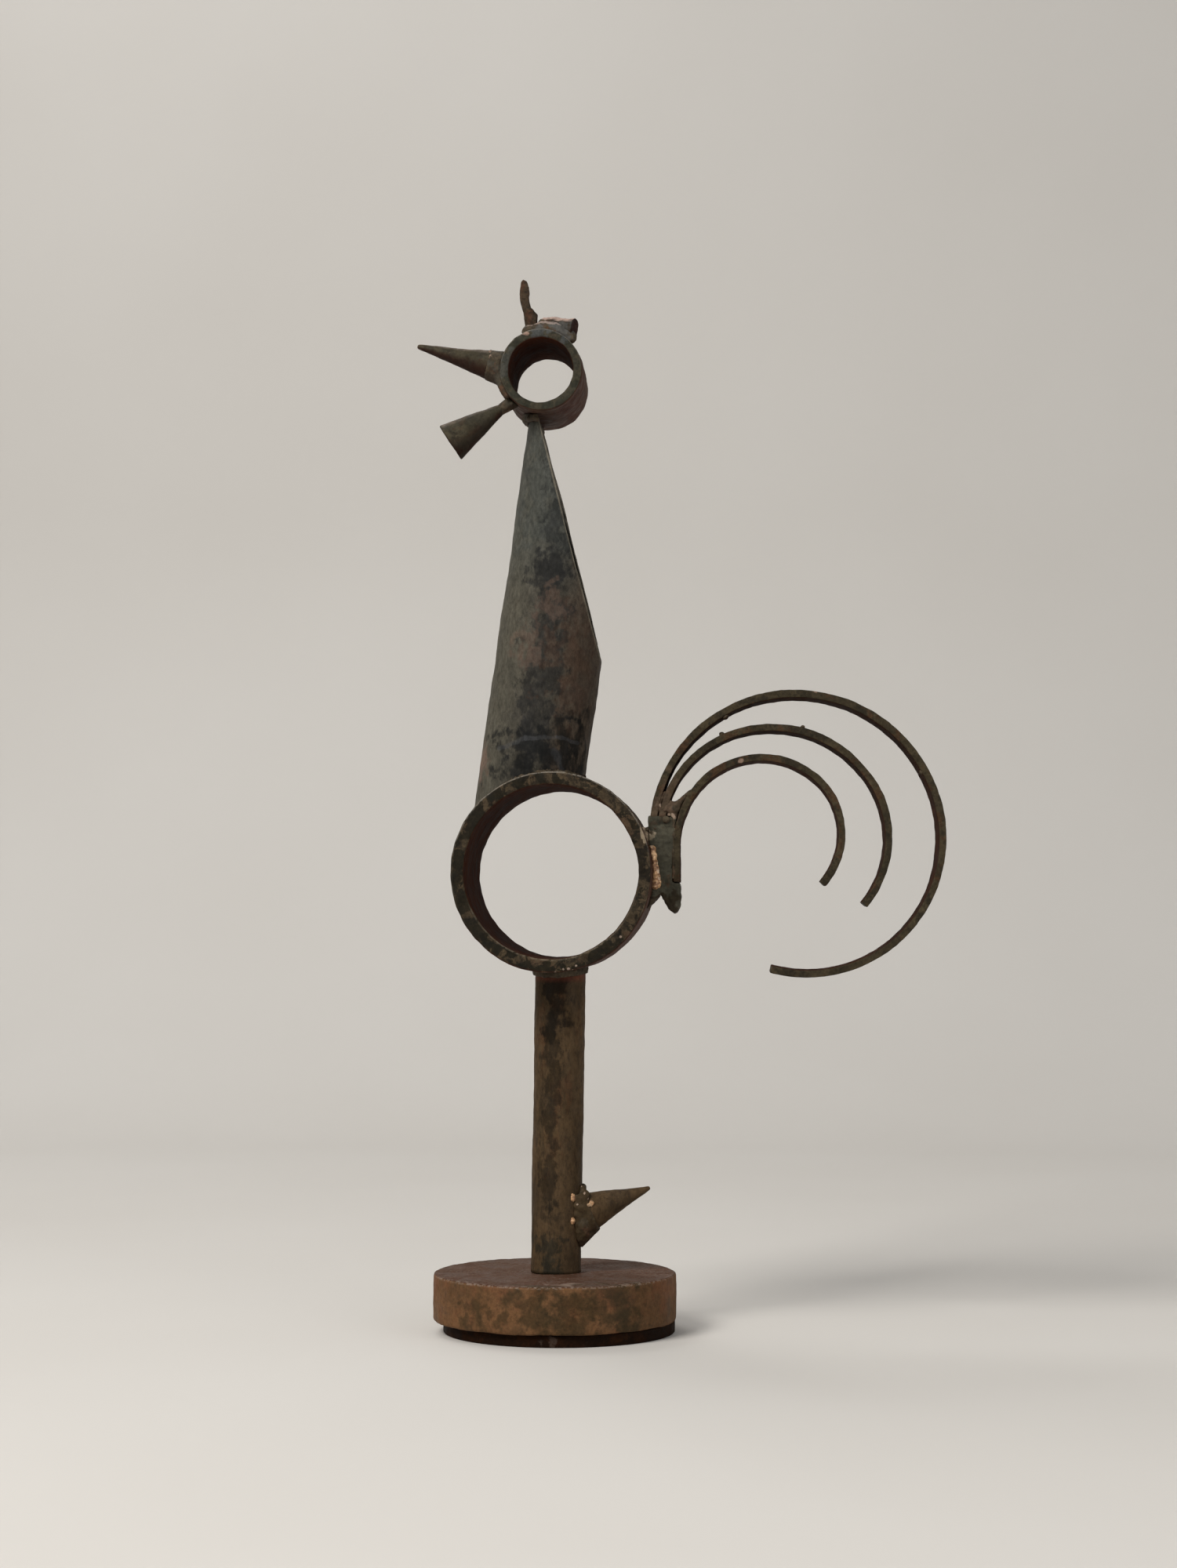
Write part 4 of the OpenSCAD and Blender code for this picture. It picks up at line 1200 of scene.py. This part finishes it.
def make_tail_braze():
    def drops(bm):
        for i in range(14):
            share = i / 13
            along = Vector((43.6 + 2.2 * share, -12, 217.2 - 14.4 * share)) * MM
            wobble = 0.5 * MM * noise.noise(Vector((i * 1.7, 3, 0)))
            lump(bm, along + Vector((wobble, 0, 0)), (2.1 + 0.4 * share) * MM, (1.1, 0.85, 0.8))
            crest = Vector((1.5 + 0.5 * share, -1, 0.4)) * MM
            lump(bm, along + crest, (0.95 + 0.4 * noise.noise(Vector((i * 2.3, 7, 0)))) * MM)
    weld_piece("tail_braze", 46, 0.28, 0.5, 2, drops=drops)


def make_weld_spatter():
    def flattened(bm):
        for vert in bm.verts:
            if vert.co.x < BRACKET_HIGH.x and vert.co.y < -TAIL_HALF:
                vert.co.y = -TAIL_HALF + 0.6 * (vert.co.y + TAIL_HALF)
    weld_piece("weld_spatter", 48, 0.25, 0.3, 2, drops=flattened)


screw = frame["nodes"]["base_screw"].data
screw.materials.clear()
screw.materials.append(finish_of("base_screw"))

for make in (
        make_base_disc, make_base_pad, make_stem_bar, make_stem_top_weld, make_spur_cone, make_spur_weld,
        make_spur_braze, make_body_ring, make_neck_tube, make_neck_foot_weld, make_head_ring,
        make_neck_tip_weld, make_upper_beak, make_upper_beak_weld, make_lower_beak,
        make_lower_beak_weld, make_comb_spike, make_comb_rod, make_comb_weld, make_tail_bracket,
        make_bracket_weld, make_tail_braze):
    make()
for node, seed in (("feather_outer", 50), ("feather_middle", 52), ("feather_inner", 54)):
    make_feather(node, seed)
make_feather_root_weld()
make_weld_spatter()


# Camera, floor and light

# The photo's camera, as the ellipses of the disc and the rings give it, its lens in the photo's pixels
CAMERA_AT = (0.0820, -1.2974, 0.1874)
CAMERA_PITCH = math.radians(2.6425)
CAMERA_TURN = math.radians(2.9456)
LENS_PIXELS = 3640.0
PHOTO_HEIGHT = 2000.0
SENSOR_HEIGHT = 24.0

# How far the floor reaches, where its backdrop stands and the radius of the bend between them
FLOOR_REACH = 4
FLOOR_BACK = 1.6
FLOOR_BEND = 0.6


def place_camera():
    data = bpy.data.cameras.new("camera")
    data.sensor_fit = "VERTICAL"
    data.sensor_height = SENSOR_HEIGHT
    data.lens = LENS_PIXELS / PHOTO_HEIGHT * SENSOR_HEIGHT
    data.clip_start = 0.01
    camera = placed("camera", data)
    camera.location = CAMERA_AT
    camera.rotation_euler = (math.pi / 2 + CAMERA_PITCH, 0, CAMERA_TURN)
    bpy.context.scene.camera = camera


def floor_finish():
    coat = Finish("pale floor", (206, 202, 196), 0.0, 0.5)
    cloud = coat.node("ShaderNodeTexNoise", {"Vector": coat.coords, "Scale": 3})
    ramp = coat.node("ShaderNodeValToRGB", {"Fac": cloud.outputs["Fac"]})
    ramp.color_ramp.elements[0].color = coat.tone
    ramp.color_ramp.elements[1].color = srgb(214, 211, 206)
    coat.feed(coat.shader.inputs["Base Color"], ramp.outputs["Color"])
    coat.feed(coat.shader.inputs["Roughness"], 0.7)
    return coat.material


def make_floor():
    """A pale floor that curves up into a backdrop."""
    bm = bmesh.new()
    start = bm.verts.new((-FLOOR_REACH, -FLOOR_REACH, 0))
    end = bm.verts.new((FLOOR_REACH, -FLOOR_REACH, 0))
    edge = bm.edges.new((start, end))
    grown = bmesh.ops.extrude_edge_only(bm, edges=[edge])["geom"]
    flat = (0, FLOOR_REACH + FLOOR_BACK - FLOOR_BEND, 0)
    bmesh.ops.translate(bm, vec=flat, verts=only(bmesh.types.BMVert, grown))
    spun = bmesh.ops.spin(
        bm, geom=only(bmesh.types.BMEdge, grown), cent=(0, FLOOR_BACK - FLOOR_BEND, FLOOR_BEND),
        axis=(1, 0, 0), dvec=(0, 0, 0), angle=math.pi / 2, steps=24, use_merge=False,
        use_duplicate=False)
    last = only(bmesh.types.BMEdge, spun["geom_last"])
    grown = bmesh.ops.extrude_edge_only(bm, edges=last)["geom"]
    bmesh.ops.translate(bm, vec=(0, 0, FLOOR_REACH), verts=only(bmesh.types.BMVert, grown))
    bmesh.ops.recalc_face_normals(bm, faces=bm.faces)
    for face in bm.faces:
        face.smooth = True
    mesh = meshed("floor", bm)
    mesh.materials.append(floor_finish())
    placed("floor", mesh)


def add_lamp(name, place, target, size, power, colour=(1, 1, 1)):
    data = bpy.data.lights.new(name, "AREA")
    data.size = size
    data.energy = power
    data.color = colour
    lamp = placed(name, data)
    lamp.location = place
    lamp.rotation_euler = (Vector(target) - Vector(place)).to_track_quat("-Z", "Y").to_euler()


def light_studio():
    world = bpy.data.worlds.new("studio")
    bpy.context.scene.world = world
    world.use_nodes = True
    background = world.node_tree.nodes["Background"]
    background.inputs["Color"].default_value = (0.9, 0.9, 0.9, 1)
    background.inputs["Strength"].default_value = 0.35
    target = (0.04, 0, 0.22)
    add_lamp("key", (-1.0, -1.3, 1.6), target, 0.8, 38, (1, 0.97, 0.93))
    add_lamp("fill", (1.5, -1.3, 0.7), target, 1.2, 8, (0.95, 0.97, 1))
    add_lamp("back", (-0.8, 1.1, 2.1), target, 1.0, 12)


place_camera()
make_floor()
light_studio()
bpy.context.scene.view_settings.view_transform = "Standard"
